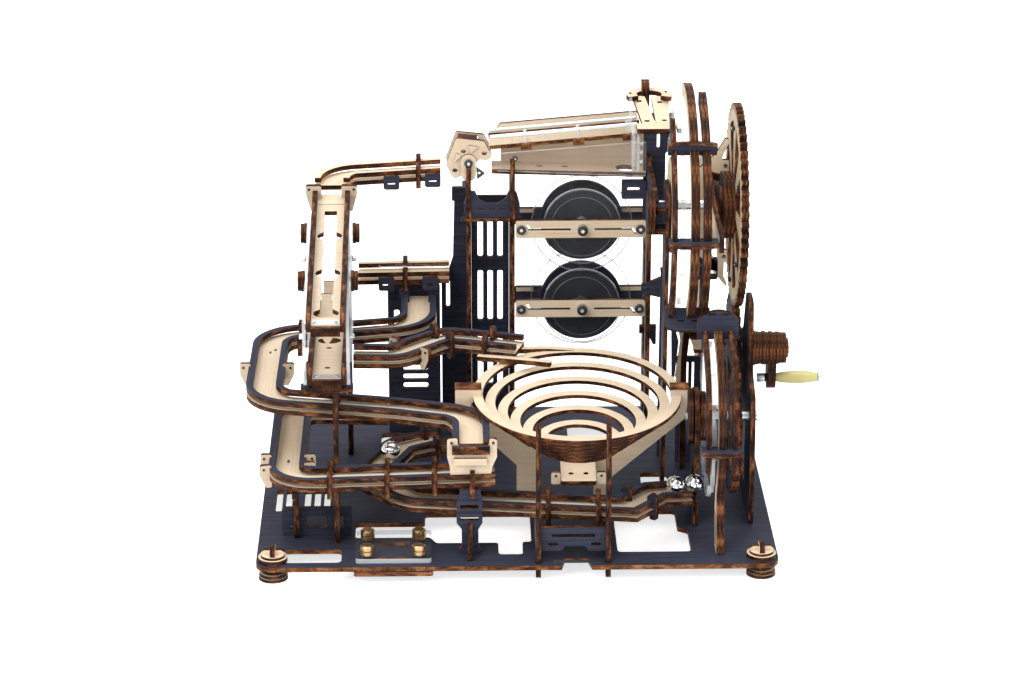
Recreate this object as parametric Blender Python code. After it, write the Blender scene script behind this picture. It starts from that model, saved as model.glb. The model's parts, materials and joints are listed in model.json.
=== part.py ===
"""Hand cranked wooden marble run, built from laser cut sheets.

Sizes are in millimetres in the values below and become metres when a mesh is made.
X runs to the right, Y runs to the back and Z runs up from the floor.
"""

import math

import bmesh
import bpy
from mathutils import Matrix, Vector
from mathutils.geometry import tessellate_polygon

for old in list(bpy.data.objects):
    bpy.data.objects.remove(old, do_unlink=True)

# Sheet stock and clearances
SHEET = 3.0
CLEAR_SHEET = 2.0
GAP = 0.3
SHAFT_R = 3.0
BORE_R = 3.35
BALL_R = 6.0
ROUND = 24

# Base plate and feet
BASE_W = 310.0
BASE_D = 254.0
BASE_CORNER = 9.0
BASE_Z = 8.0
BASE_TOP = BASE_Z + SHEET
LEFT = -BASE_W / 2
FRONT = -BASE_D / 2
FOOT_INSET = (10.0, 10.5)
FOOT_X = BASE_W / 2 - FOOT_INSET[0]
FOOT_Y = BASE_D / 2 - FOOT_INSET[1]
FOOT_R = 8.7
FOOT_NECK_R = 6.6
FOOT_DISC = 4.3
FOOT_PIN_R = 3.0
FOOT_CAP = 4.5

# Track section
RAIL_W = 4.0
RAIL_PITCH = 9.0
RAIL_LIFT = 2.0
FLOOR_HALF = RAIL_PITCH + RAIL_W / 2
TRACK_TALL = 2 * SHEET + RAIL_LIFT
COMB_HALF = FLOOR_HALF + 1.5
COMB_OVER = 3.5
COMB_UNDER = 3.5
BITE = 0.6

# Gears, all on module two
MODULE = 2.0
BIG_TEETH = 60
CRANK_GEAR_TEETH = 33
LOWER_TEETH = 45
CRANK_TEETH = 15
BIG_GEAR_X = (133.6, 138.2)
LOWER_GEAR_X = (128.6, 133.2)
BACKLASH = 0.35

# Lift axes, given as Y and Z
LOWER_AXIS = (-56.0, 77.0)
UPPER_AXIS = (0.0, 192.8)

# Lift cages and wheels
UPPER_CAGE = (66.0, 74.0)
LOWER_CAGE = (51.0, 58.0)
UPPER_WHEEL_R = 64.0
LOWER_WHEEL_R = 49.0

# Maze wheels
DISC_X = 44.9
DISC_UPPER_Z = 157.4
DISC_LOWER_Z = 104.4
DARK_R = 25.2
CLEAR_R = 24.7
HALO_R = 32.0
BAR_TALL = 10.4
BAR_Y = 60.0

# Switch pivot, given as X and Z
SWITCH_PIVOT = (-26.5, 199.9)

# Tower posts
POST_A_X = -28.0
POST_B_X = -0.5
LIFT_POST_X = 85.2
POST_FRONT = 66.0
POST_BACK = 98.5

# Left edges of the two centre ribs, and the front and back of their pegs
CENTRE_RIB_X = (10.8, 52.2)
RIB_PEG_Y = (FRONT + 3.0, FRONT + 9.0)
RIB_PEG_Z = 1.5

# Funnel
FUNNEL_X = 37.5
FUNNEL_FRONT = -112.0
FUNNEL_Z = 82.0
FUNNEL_R = 63.0
FUNNEL_STEP = 7.4
FUNNEL_BAND = 7.2
FUNNEL_RINGS = 6
FUNNEL_TILT = 5.0
FUNNEL_INSET = 1.0

# Crank
CRANK_ARM = 19.6
HUB = ((147.0, 10.9), (150.5, 10.9), (150.6, 10.2), (165.4, 10.2), (165.5, 9.6), (168.6, 9.6))
GRIP_R = 4.0
GRIP_X = (162.6, 188.4)
GRIP_NUT_END = 191.6

# The loop track reaches furthest left
LOOP_LEFT_X = -163.0
SHIFT_X = -(GRIP_NUT_END + LOOP_LEFT_X) / 2

BIRCH = ("birch", (0.80, 0.64, 0.45), 0.6, 0.0, 1.0)
NAVY = ("navy_stain", (0.055, 0.062, 0.11), 0.6, 0.0, 1.0)
BURNT = ("burnt_edge", (0.16, 0.07, 0.035), 0.65, 0.0, 1.0)
CLEAR = ("clear_acrylic", (0.9, 0.92, 0.93), 0.05, 0.0, 0.25)
STEEL = ("steel", (0.75, 0.76, 0.78), 0.15, 1.0, 1.0)
YELLOW = ("yellow_grip", (0.78, 0.7, 0.36), 0.35, 0.0, 1.0)


def polar(radius, angle):
    """A point in a sheet's own plane, with the angle in degrees."""
    return (radius * math.cos(math.radians(angle)), radius * math.sin(math.radians(angle)))


def arc(centre, radius, start, stop, steps):
    """Points along an arc, both ends included."""
    points = []
    for step in range(steps + 1):
        dx, dy = polar(radius, start + (stop - start) * step / steps)
        points.append((centre[0] + dx, centre[1] + dy))
    return points


def circle(centre, radius, steps=ROUND):
    return arc(centre, radius, 0.0, 360.0, steps)[:-1]


def ellipse(centre, half_u, half_v, steps=16):
    return [(centre[0] + half_u * u, centre[1] + half_v * v)
            for u, v in circle((0.0, 0.0), 1.0, steps)]


def box_outline(low_u, low_v, high_u, high_v, corner=0.0):
    """A rectangle, with rounded corners where a radius is given."""
    if corner <= 0.0:
        return [(low_u, low_v), (high_u, low_v), (high_u, high_v), (low_u, high_v)]
    centres = [(high_u - corner, high_v - corner, 0), (low_u + corner, high_v - corner, 90),
               (low_u + corner, low_v + corner, 180), (high_u - corner, low_v + corner, 270)]
    points = []
    for u, v, start in centres:
        points += arc((u, v), corner, start, start + 90, 3)
    return points


def ring_sector(centre, inner, outer, start, stop, steps):
    """A band of a ring between two angles."""
    return arc(centre, outer, start, stop, steps) + arc(centre, inner, stop, start, steps)


def slab(outline, low, high, plane="xy", holes=()):
    """A flat sheet cut to an outline, as verts and faces in millimetres."""
    loops = [outline] + list(holes)
    flat = [point for loop in loops for point in loop]
    caps = tessellate_polygon([[Vector((u, v, 0.0)) for u, v in loop] for loop in loops])
    count = len(flat)
    verts = [place(u, v, low, plane) for u, v in flat]
    verts += [place(u, v, high, plane) for u, v in flat]
    faces = [tuple(cap) for cap in caps]
    faces += [tuple(index + count for index in reversed(cap)) for cap in caps]
    start = 0
    for loop in loops:
        size = len(loop)
        for index in range(size):
            here = start + index
            there = start + (index + 1) % size
            faces.append((here, there, there + count, here + count))
        start += size
    return verts, faces


def place(u, v, w, plane):
    """Turn a sheet's own point into X, Y and Z."""
    if plane == "xy":
        return (u, v, w)
    if plane == "xz":
        return (u, w, v)
    return (w, u, v)


def block(low, high):
    """A plain box between two corners."""
    return slab(box_outline(low[0], low[1], high[0], high[1]), low[2], high[2])


def turned(shape, matrix):
    """A shape moved by a matrix."""
    verts, faces = shape
    return [tuple(matrix @ Vector(vert)) for vert in verts], faces


def rod(axis, centre, radius, low, high, steps=12):
    """A round bar or disc along an axis."""
    plane = {"x": "yz", "y": "xz", "z": "xy"}[axis]
    return slab(circle(centre, radius, steps), low, high, plane)


def lathe(profile, centre, steps=16):
    """A turned solid along X, from X and radius pairs with closed ends."""
    verts = []
    for x, radius in profile:
        for y, z in circle(centre, radius, steps):
            verts.append((x, y, z))
    faces = [tuple(range(steps)), tuple(range(len(verts) - steps, len(verts)))]
    for ring in range(len(profile) - 1):
        for index in range(steps):
            here = ring * steps + index
            there = ring * steps + (index + 1) % steps
            faces.append((here, there, there + steps, here + steps))
    return verts, faces


def ball_shape(centre, radius):
    """A steel ball as latitude rings."""
    mesh = bmesh.new()
    bmesh.ops.create_uvsphere(mesh, u_segments=14, v_segments=8, radius=radius,
                              matrix=Matrix.Translation(centre))
    verts = [tuple(vert.co) for vert in mesh.verts]
    faces = [tuple(vert.index for vert in face.verts) for face in mesh.faces]
    mesh.free()
    return verts, faces


def mesh_from(name, shape):
    """A mesh in metres with its faces turned outwards."""
    verts, faces = shape
    mesh = bpy.data.meshes.new(name)
    mesh.from_pydata([(x * 0.001, y * 0.001, z * 0.001) for x, y, z in verts], [], faces)
    work = bmesh.new()
    work.from_mesh(mesh)
    bmesh.ops.recalc_face_normals(work, faces=work.faces)
    work.to_mesh(mesh)
    work.free()
    return mesh


def surface(look):
    """One Principled material for a node."""
    label, colour, rough, metal, alpha = look
    material = bpy.data.materials.new(label)
    material.use_nodes = True
    shader = material.node_tree.nodes["Principled BSDF"]
    shader.inputs["Base Color"].default_value = (*colour, 1.0)
    shader.inputs["Roughness"].default_value = rough
    shader.inputs["Metallic"].default_value = metal
    shader.inputs["Alpha"].default_value = alpha
    return material


def node(name, look, *shapes, pivot=(0.0, 0.0, 0.0), smooth=False):
    """One named object, its shapes united in one body, its origin on its pivot."""
    first = bpy.data.objects.new(name, mesh_from(name, shapes[0]))
    bpy.context.collection.objects.link(first)
    for index, shape in enumerate(shapes[1:]):
        tool = bpy.data.objects.new(f"tool_{index}", mesh_from("tool", shape))
        bpy.context.collection.objects.link(tool)
        union = first.modifiers.new("union", "BOOLEAN")
        union.operation = "UNION"
        union.solver = "EXACT"
        union.object = tool
        bpy.context.view_layer.update()
        graph = bpy.context.evaluated_depsgraph_get()
        fused = bpy.data.meshes.new_from_object(first.evaluated_get(graph))
        first.modifiers.clear()
        first.data = fused
        bpy.data.objects.remove(tool, do_unlink=True)
    home = Vector((pivot[0] + SHIFT_X, pivot[1], pivot[2])) * 0.001
    first.data.transform(Matrix.Translation(-Vector(pivot) * 0.001))
    first.location = home
    first.data.materials.clear()
    first.data.materials.append(surface(look))
    if smooth:
        first.data.shade_smooth()
    return first


def rounded_path(corners, radius, steps=4):
    """Plan points through the corners, each inner corner eased by an arc."""
    points = [Vector(corners[0])]
    for before, corner, after in zip(corners, corners[1:], corners[2:]):
        corner = Vector(corner)
        inward = (Vector(before) - corner).normalized()
        outward = (Vector(after) - corner).normalized()
        half = inward.angle(outward) / 2
        reach = radius / math.tan(half)
        centre = corner + (inward + outward).normalized() * (radius / math.sin(half))
        begin = corner + inward * reach - centre
        end = corner + outward * reach - centre
        sweep = begin.angle_signed(end)
        for step in range(steps + 1):
            angle = -sweep * step / steps
            turned_point = Matrix.Rotation(angle, 2) @ begin
            points.append(centre + turned_point)
    points.append(Vector(corners[-1]))
    return points


def graded(points, high, low):
    """Plan points with a height that falls evenly along the way."""
    lengths = [0.0]
    for here, there in zip(points, points[1:]):
        lengths.append(lengths[-1] + (there - here).length)
    return [(point.x, point.y, high + (low - high) * length / lengths[-1])
            for point, length in zip(points, lengths)]


def sides(path, index):
    """The unit vector to the left of a path at one of its points."""
    here = Vector(path[index][:2])
    before = Vector(path[index - 1][:2]) if index else None
    after = Vector(path[index + 1][:2]) if index < len(path) - 1 else None
    legs = [leg.normalized() for leg in
            ((here - before) if before else None, (after - here) if after else None) if leg]
    along = sum(legs, Vector((0.0, 0.0))).normalized()
    left = Vector((-along.y, along.x))
    stretch = 1.0 / max(0.5, along.dot(legs[0]))
    return left * stretch


def ribbon(path, inner, outer, under, over):
    """A band that follows a path between two sideways and two height offsets."""
    verts = []
    for index, (x, y, z) in enumerate(path):
        left = sides(path, index)
        for offset, rise in ((inner, under), (outer, under), (outer, over), (inner, over)):
            verts.append((x + left.x * offset, y + left.y * offset, z + rise))
    last = len(verts) - 4
    faces = [(0, 1, 2, 3), (last, last + 1, last + 2, last + 3)]
    for ring in range(len(path) - 1):
        for corner in range(4):
            here = ring * 4 + corner
            there = ring * 4 + (corner + 1) % 4
            faces.append((here, there, there + 4, here + 4))
    return verts, faces


def station(path, distance):
    """The place and heading at a distance along a path."""
    walked = 0.0
    for here, there in zip(path, path[1:]):
        leg = Vector(there) - Vector(here)
        if walked + leg.length >= distance:
            spot = Vector(here) + leg * ((distance - walked) / leg.length)
            return spot, math.atan2(leg.y, leg.x)
        walked += leg.length
    return Vector(path[-1]), math.atan2(leg.y, leg.x)


def comb(path, distance, under=COMB_UNDER, over=COMB_OVER):
    """A cross sheet that carries the floor and holds both rails."""
    spot, heading = station(path, distance)
    inner = RAIL_PITCH - RAIL_W / 2
    top = TRACK_TALL + over
    floor_top = SHEET - BITE
    outline = [(-COMB_HALF, -under), (COMB_HALF, -under), (COMB_HALF, top), (inner + BITE, top),
               (inner + BITE, floor_top), (-inner - BITE, floor_top), (-inner - BITE, top),
               (-COMB_HALF, top)]
    shape = slab(outline, -SHEET / 2, SHEET / 2, "yz")
    matrix = Matrix.Translation(spot) @ Matrix.Rotation(heading, 4, "Z")
    return turned(shape, matrix)


def track(name, path, combs, extra=()):
    """Floor, two rails and their combs as one body."""
    rail_low = SHEET + RAIL_LIFT
    inner = RAIL_PITCH - RAIL_W / 2
    shapes = [ribbon(path, -FLOOR_HALF, FLOOR_HALF, 0.0, SHEET)]
    shapes += [comb(path, distance) for distance in combs]
    shapes.append(ribbon(path, inner, inner + RAIL_W, rail_low, TRACK_TALL))
    shapes.append(ribbon(path, -inner - RAIL_W, -inner, rail_low, TRACK_TALL))
    return node(name, BIRCH, *shapes, *extra)


def gear_outline(centre, teeth, phase):
    """Straight sided teeth on a pitch circle."""
    pitch = MODULE * teeth / 2
    tip = pitch + MODULE * 0.9
    root = pitch - MODULE * 1.15
    step = 360.0 / teeth
    slack = math.degrees(BACKLASH / 2 / pitch)
    wide = step * 0.36 - slack
    narrow = step * 0.14 - slack / 2
    points = []
    for tooth in range(teeth):
        middle = phase + tooth * step
        for radius, angle in ((root, -wide), (tip, -narrow), (tip, narrow), (root, wide)):
            dy, dz = polar(radius, middle + angle)
            points.append((centre[0] + dy, centre[1] + dz))
    return points


def heading_between(centre, other):
    return math.degrees(math.atan2(other[1] - centre[1], other[0] - centre[0]))


def meshed_phase(centre, teeth, phase, other, other_teeth):
    """The phase that puts the other gear's gap on this gear's tooth."""
    pitch = MODULE * teeth / 2
    other_pitch = MODULE * other_teeth / 2
    toward = heading_between(centre, other)
    rise = math.radians(phase - toward) * pitch
    return toward + 180.0 - math.degrees((rise + math.pi * MODULE / 2) / other_pitch)


def offset_centre(centre, distance, angle):
    dy, dz = polar(distance, angle)
    return (centre[0] + dy, centre[1] + dz)


def crank_centre():
    """The crank carries two gears, one for each lift, so it lies where both can mesh."""
    near = MODULE * (BIG_TEETH + CRANK_GEAR_TEETH) / 2
    far = MODULE * (LOWER_TEETH + CRANK_TEETH) / 2
    dy = LOWER_AXIS[0] - UPPER_AXIS[0]
    dz = LOWER_AXIS[1] - UPPER_AXIS[1]
    between = math.hypot(dy, dz)
    cosine = (near ** 2 + between ** 2 - far ** 2) / (2 * near * between)
    swing = math.degrees(math.acos(max(-1.0, min(1.0, cosine))))
    return offset_centre(UPPER_AXIS, near, math.degrees(math.atan2(dz, dy)) + swing)


CRANK_AXIS = crank_centre()


def base_slots():
    """Windows and slots through the base plate."""
    left_slots = [box_outline(LEFT + x, -43.0, LEFT + x + 4.0, -10.0)
                  for x in (8.0, 14.0, 25.5, 31.5, 37.5)]
    middle = [(-97.0, -79.0), (-42.0, -79.0), (-42.0, -93.0), (-11.0, -93.0), (-11.0, -110.0),
              (3.5, -110.0), (3.5, -92.0), (9.0, -92.0), (9.0, -48.0), (-55.0, -48.0),
              (-55.0, -62.0), (-97.0, -62.0)]
    right = [(60.0, -108.0), (104.0, -108.0), (104.0, -76.0), (98.0, -72.0), (98.0, -46.0),
             (60.0, -46.0)]
    pegs = [box_outline(x - GAP, RIB_PEG_Y[0] - GAP, x + SHEET + GAP, RIB_PEG_Y[1] + GAP)
            for x in CENTRE_RIB_X]
    return left_slots + pegs + [
        middle, right,
        box_outline(LEFT + 16.5, FRONT + 7.0, LEFT + 50.5, FRONT + 26.0, 2.0),
        box_outline(-83.5, 58.5, -49.6, 82.5, 3.0),
        box_outline(37.0, 58.0, 65.0, 98.0, 3.0),
        box_outline(80.0, -10.0, 97.0, 13.0, 2.0)]


def make_base():
    half_w = BASE_W / 2
    half_d = BASE_D / 2
    corners = box_outline(-half_w, -half_d, half_w, half_d, BASE_CORNER)
    notch = [(26.0, -half_d), (28.0, -half_d + 10.0), (42.0, -half_d + 10.0), (44.0, -half_d)]
    outline = corners[:12] + notch + corners[12:]
    bores = [circle((side * FOOT_X, row * FOOT_Y), FOOT_PIN_R + GAP, 12)
             for side in (-1, 1) for row in (-1, 1)]
    node("base_plate", NAVY, slab(outline, BASE_Z, BASE_TOP, holes=base_slots() + bores))


def make_feet():
    for row, place_name in ((-1, "front"), (1, "rear")):
        for side, side_name in ((-1, "left"), (1, "right")):
            centre = (side * FOOT_X, row * FOOT_Y)
            cap_top = BASE_TOP + FOOT_CAP
            foot = [rod("z", centre, FOOT_R, 0.0, FOOT_DISC, 16),
                    rod("z", centre, FOOT_NECK_R, FOOT_DISC - BITE, BASE_Z, 12),
                    rod("z", centre, FOOT_PIN_R, FOOT_DISC, BASE_TOP + SHEET, 12),
                    rod("z", centre, FOOT_R, BASE_TOP, cap_top, 16),
                    block((centre[0] - 7.0, centre[1] - 1.5, cap_top - BITE),
                          (centre[0] + 7.0, centre[1] + 1.5, cap_top + SHEET)),
                    block((centre[0] - 1.5, centre[1] - 6.0, cap_top - BITE),
                          (centre[0] + 1.5, centre[1] + 6.0, cap_top + 5.0))]
            node(f"foot_{place_name}_{side_name}", BURNT, *foot)


def make_name_plate():
    low = (LEFT + 59.0, FRONT + 5.0)
    high = (LEFT + 104.0, FRONT + 47.0)
    top = BASE_TOP + SHEET
    node("name_plate", CLEAR, slab(box_outline(*low, *high, 2.0), BASE_TOP, top))


def make_left_supports():
    wall = box_outline(-141.0, BASE_TOP, -99.0, BASE_TOP + 18.0, 2.0)
    window = box_outline(-126.0, BASE_TOP + 5.0, -114.0, BASE_TOP + 13.0, 1.0)
    outer = [(-78.5, BASE_TOP), (-78.5, 40.0), (-88.0, 49.0), (-104.0, 49.0), (-104.0, 45.0),
             (-92.0, 41.0), (-86.0, 34.0), (-85.0, BASE_TOP)]
    node("left_support", NAVY, slab(wall, -80.0, -77.0, "xz", [window]),
         slab(outer, -133.5, -130.5, "yz"))
    behind = -80.0 - GAP
    above = BASE_TOP + 18.0 + GAP
    inner = [(-92.0, BASE_TOP), (behind, BASE_TOP), (behind, above), (-76.0, above), (-76.0, 40.0),
             (-72.8, 48.0), (-72.8, 107.2), (-83.0, 107.2), (-83.0, 50.0), (-92.0, 44.0)]
    return inner


def make_front_column():
    z = BASE_TOP
    face = [(-34.6, z), (-21.4, z), (-21.4, z + 2.5), (-24.0, z + 6.0), (-20.6, z + 18.0),
            (-20.6, z + 34.0), (-21.6, z + 38.0), (-21.6, z + 41.5), (-34.2, z + 41.5),
            (-34.2, z + 38.0), (-36.0, z + 34.0), (-36.0, z + 18.0), (-31.6, z + 6.0),
            (-34.6, z + 2.5)]
    slots = [box_outline(-33.0, z + 28.0, -23.4, z + 30.0),
             box_outline(-33.0, z + 21.0, -23.4, z + 23.5)]
    rib = [(-121.0, z), (-95.0, z), (-104.0, z + 20.0), (-111.0, z + 20.0), (-116.0, z + 14.0)]
    node("front_column", NAVY, slab(face, -109.0, -106.0, "xz", slots),
         slab(rib, -29.5, -26.5, "yz"))


def centre_rib_outline(foot_z, top_z):
    """A rib that stands in the base and holds the front track and the funnel."""
    tip = FUNNEL_FRONT - GAP
    low, high = RIB_PEG_Y
    return [(low, foot_z), (high, foot_z), (high, BASE_TOP), (-88.0, BASE_TOP),
            (-84.0, BASE_TOP + 8.0), (-84.0, top_z), (-110.6, top_z), (-114.0, top_z + 4.0),
            (-114.0, 60.0), (tip, 72.0), (tip, 96.0), (-116.5, 97.0), (-119.0, 84.0),
            (-122.0, 60.0), (low + 2.0, 34.0), (low, 24.0)]


def make_tracks():
    tracks = {}
    lower_left = graded(rounded_path([(-13.0, -96.0), (-137.0, -96.0), (-137.0, 22.0),
                                      (-78.0, 22.0)], 16.0), 53.5, 45.5)
    track("lower_left_track", lower_left, (4.0, 36.0, 64.0, 98.0, 200.0, 226.0))
    left = LOOP_LEFT_X + FLOOR_HALF
    loop = graded(rounded_path([(-58.5, 84.2), (-58.5, 33.0), (left + 2.0, 33.0), (left, -57.0),
                                (-70.0, -60.0), (-27.0, -66.0), (-27.0, -104.0)], 17.0), 102.0, 74.0)
    bracket = slab([(-42.0, 80.0), (-42.0, 68.0), (-38.0, 65.4), (-16.0, 65.4), (-12.0, 68.0),
                    (-12.0, 80.0), (-18.0, 80.0), (-18.0, 75.0), (-36.0, 75.0), (-36.0, 80.0)],
                   -106.0, -103.0, "xz")
    near_rib = distance_where(loop, lambda x, y: x > -107.5 and y < -40.0)
    track("loop_track", loop, (8.0, 84.0, 150.0, near_rib), (bracket,))
    feed = graded(rounded_path([(-98.0, -16.5), (-72.0, -16.5), (-42.0, 15.0), (-20.0, 10.0),
                                (4.0, 3.0)], 10.0), 98.5, 96.6)
    track("funnel_feed_track", feed, (1.6, 66.0, 96.0))
    front = graded(rounded_path([(-44.0, -14.0), (-70.0, -26.0), (-88.0, -66.0), (-62.0, -94.0),
                                 (66.0, -97.0), (84.0, -72.0), (104.0, -66.6)], 12.0), 42.0, 27.5)
    ribs = [distance_where(front, lambda x, y: x > low and y < -80.0) for low in CENTRE_RIB_X]
    track("lower_front_track", front, (8.0, ribs[0] + 8.0, ribs[1] - 4.0, 250.0))
    upper = graded(rounded_path([(-44.0, 86.0), (-112.0, 86.0), (-112.0, 70.5)], 12.0), 185.5, 181.0)
    length = distance_where(upper, lambda x, y: False)
    hanger = comb(upper, length - 1.6, under=10.0)
    track("upper_left_track", upper, (14.0, 56.0), (hanger,))
    middle = graded([Vector((-39.0, 86.0)), Vector((-97.0, 86.0))], 116.8, 116.0)
    track("middle_track", middle, (6.0, 20.0, 50.0))
    tracks["lower_front_track"] = front
    return tracks


def distance_where(path, passed):
    """How far along a path the first point lies that passes a test, or its length."""
    length = sum((Vector(there) - Vector(here)).length for here, there in zip(path, path[1:]))
    steps = int(length)
    for step in range(steps):
        spot, _ = station(path, step)
        if passed(spot.x, spot.y):
            return float(step)
    return length


def frame_slots(columns, rows, width):
    """Upright slots in a panel, given their left edges and their heights."""
    return [box_outline(x, low, x + width, high) for x in columns for low, high in rows]


def make_tower():
    y = 90.0
    post_top = SWITCH_PIVOT[1] - 12.4
    posts = box_outline(POST_FRONT, BASE_TOP, POST_BACK, post_top)
    stops = [(POST_FRONT + 8.0, 40.0), (POST_FRONT + 8.0, 90.0), (POST_FRONT + 8.0, 140.0)]
    gaps = [box_outline(v, low, POST_BACK - 14.0, low + 36.0) for v, low in stops]
    tongue = box_outline(72.5, post_top - BITE, 78.5, SWITCH_PIVOT[1] + 3.0)
    right = [(POST_FRONT, BASE_TOP), (POST_BACK, BASE_TOP), (POST_BACK, 191.3), (63.7, 191.3),
             (63.7, 203.0), (60.5, 203.0), (60.5, 164.0), (POST_FRONT, 158.0)]
    frame = [slab(posts, POST_A_X, POST_A_X + SHEET, "yz", gaps),
             slab(tongue, POST_A_X, POST_A_X + SHEET, "yz"),
             slab(right, POST_B_X, POST_B_X + SHEET, "yz", gaps),
             rod("y", SWITCH_PIVOT, 2.5, 64.6, 86.6, 16), rod("y", SWITCH_PIVOT, 3.2, 63.0, 65.2, 16)]
    rows = ((129.0, 157.0), (86.0, 120.0), (42.0, 76.0))
    panel_low = POST_A_X + SHEET + GAP
    panel_high = POST_B_X - GAP
    columns = [panel_low + 3.9 + 6.3 * index for index in range(3)]
    outline = box_outline(panel_low, BASE_TOP, panel_high, 170.0)
    node("tower_panel", NAVY, slab(outline, y, y + SHEET, "xz", frame_slots(columns, rows, 3.5)))
    side = [(POST_A_X + SHEET, BASE_TOP), (POST_A_X + SHEET, 173.0), (-37.0, 173.0), (-37.0, 164.0),
            (-35.5, 164.0), (-36.5, 126.0), (-41.0, 112.0), (-44.0, 112.0), (-44.0, BASE_TOP)]
    low_y = POST_BACK + GAP
    node("side_panel", NAVY, slab(side, low_y, low_y + SHEET, "xz"))
    yoke = [(-29.5, 166.0), (5.6, 166.0), (5.6, 173.0), (2.0, 177.0), (-2.0, 172.0), (-22.0, 172.0),
            (-26.0, 177.0), (-29.5, 173.0)]
    frame.append(slab(yoke, POST_FRONT - 2.5, POST_FRONT + 0.5, "xz"))
    node("tower_frame", BURNT, *frame)
    rear = box_outline(-78.5, BASE_TOP, -45.0, 112.5)
    cuts = frame_slots((-74.5, -51.0), ((75.0, 95.5),), 3.5)
    cuts += [box_outline(-69.0, low, -53.0, low + 4.0) for low in (41.5, 47.5, 53.5)]
    cuts.append(box_outline(-64.0, 64.0, -57.0, 104.0, 1.0))
    node("rear_left_panel", NAVY, slab(rear, 84.5, 87.5, "xz", cuts))


def make_window():
    outline = box_outline(-83.5, 128.5, -38.5, 180.7)
    node("clear_window", CLEAR, slab(outline, 72.6, 74.6, "xz"))


def slope_slab(outline, low_z, high_z, start, stop):
    """A flat sheet tilted along Y, with its lower face at the two heights."""
    run = stop[0] - start[0]
    rise = stop[1] - start[1]
    matrix = Matrix.Translation((0.0, start[0], start[1]))
    matrix = matrix @ Matrix.Rotation(math.atan2(rise, run), 4, "X")
    return turned(slab(outline, low_z, high_z, holes=()), matrix)


def channel(name, front, back, half_outer, slot, rounds, walls):
    """A zigzag channel with a floor and two side walls."""
    middle_x = -112.3
    run = math.hypot(back[0] - front[0], back[1] - front[1])
    tilt = math.atan2(back[1] - front[1], back[0] - front[0])
    matrix = Matrix.Translation((middle_x, front[0], front[1])) @ Matrix.Rotation(tilt, 4, "X")
    inner = half_outer - SHEET
    holes = [slot] if slot else []
    holes += rounds
    floor = slab(box_outline(-inner - BITE, 0.5, inner + BITE, run - 0.5), 0.0, SHEET, holes=holes)
    wall = box_outline(0.0, -3.0, run, walls, 1.5)
    left = slab(wall, -half_outer, -inner, "yz")
    right = slab(wall, inner, half_outer, "yz")
    node(name, BIRCH, turned(floor, matrix), turned(left, matrix), turned(right, matrix))


def make_zigzag():
    slot = [(-4.3, 20.0), (4.3, 20.0), (4.3, 128.0), (-4.3, 128.0)]
    channel("zigzag_upper", (-84.0, 144.0), (68.0, 176.4), 11.6, slot, [], 9.0)
    holes = [ellipse((0.0, 62.0), 5.0, 4.0), box_outline(-4.0, 20.0, 4.0, 23.0)]
    channel("zigzag_lower", (-84.0, 110.5), (48.0, 113.0), 11.6, None, holes, 8.0)
    clear = [(-82.0, 108.0), (-30.0, 108.0), (4.0, 116.0), (4.0, 162.0), (-12.0, 162.0),
             (-82.0, 148.0)]
    for side, name in ((-1, "left"), (1, "right")):
        face = -112.3 + side * (11.6 + GAP)
        low, high = sorted((face, face + side * CLEAR_SHEET))
        node(f"zigzag_window_{name}", CLEAR, slab(clear, low, high, "yz"))


def make_zigzag_supports(inner_rib):
    node("zigzag_rib", BURNT, slab(inner_rib, -109.0, -106.0, "yz"))
    post = [(46.0, BASE_TOP), (60.0, BASE_TOP), (60.0, 84.0), (66.0, 96.0), (66.0, 172.5),
            (60.0, 171.2), (52.0, 160.0), (52.0, 96.0), (46.0, 84.0)]
    node("zigzag_post", BURNT, slab(post, -104.0, -101.0, "yz"))


def make_chute():
    left_x = -13.5
    right_x = 84.0
    tilt = math.atan2(7.5, 88.0)
    matrix = Matrix.Translation((left_x, 0.0, 208.0)) @ Matrix.Rotation(-tilt, 4, "Y")
    length = (right_x - left_x) / math.cos(tilt)
    end = length - 2.6
    floor = slab(box_outline(0.5, 66.6, end - 0.5, 84.6), 0.0, SHEET)
    front = slab(box_outline(0.0, 66.4, end, 70.4), SHEET - BITE, 6.5)
    rear = slab(box_outline(0.0, 80.4, end, 84.4), SHEET - BITE, 6.5)
    wall = slab(box_outline(4.0, -2.0, end - 1.0, 11.0), 84.0, 87.0, "xz")
    node("chute_rails", BIRCH, *(turned(shape, matrix) for shape in (floor, front, rear, wall)))
    shelf_matrix = Matrix.Translation((-12.0, 0.0, 192.3)) @ Matrix.Rotation(0.03, 4, "Y")
    shelf = slab(box_outline(0.0, 66.4, 96.5, 84.6), 0.0, SHEET,
                 holes=[circle((84.5, 75.5), BALL_R + 0.6, 20)])
    back = slab([(-6.0, 193.1), (84.0, 190.4), (84.0, 213.9), (-6.0, 206.2)], 84.2, 87.2, "xz")
    node("chute_shelf", BIRCH, turned(shelf, shelf_matrix), back)
    cover = [(-9.0, 194.5), (84.5, 190.5), (84.5, 213.0), (-9.0, 205.8)]
    node("chute_cover", CLEAR, slab(cover, 64.2, 66.1, "xz"))


def make_switch():
    pivot = SWITCH_PIVOT
    outline = [(-35.0, 188.8), (-31.2, 190.7), (-19.3, 201.5), (-15.6, 200.5), (-12.4, 202.4),
               (-11.9, 204.7), (-14.2, 208.4), (-16.8, 213.4), (-34.2, 215.3), (-40.6, 198.0),
               (-37.2, 190.8)]
    front = slab(outline, 67.0, 70.0, "xz", [circle(pivot, 2.8, 16)])
    rear = slab(outline, 81.0, 84.0, "xz", [circle(pivot, 2.8, 16)])
    bridge = slab([(-33.0, 211.5), (-21.0, 210.5), (-21.0, 213.3), (-33.0, 214.4)],
                  69.0, 82.0, "xz")
    foot = slab(box_outline(-36.5, 191.4, -33.0, 194.4), 69.0, 82.0, "xz")
    node("switch_rocker", BIRCH, front, rear, bridge, foot, pivot=(pivot[0], 75.5, pivot[1]))


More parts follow.
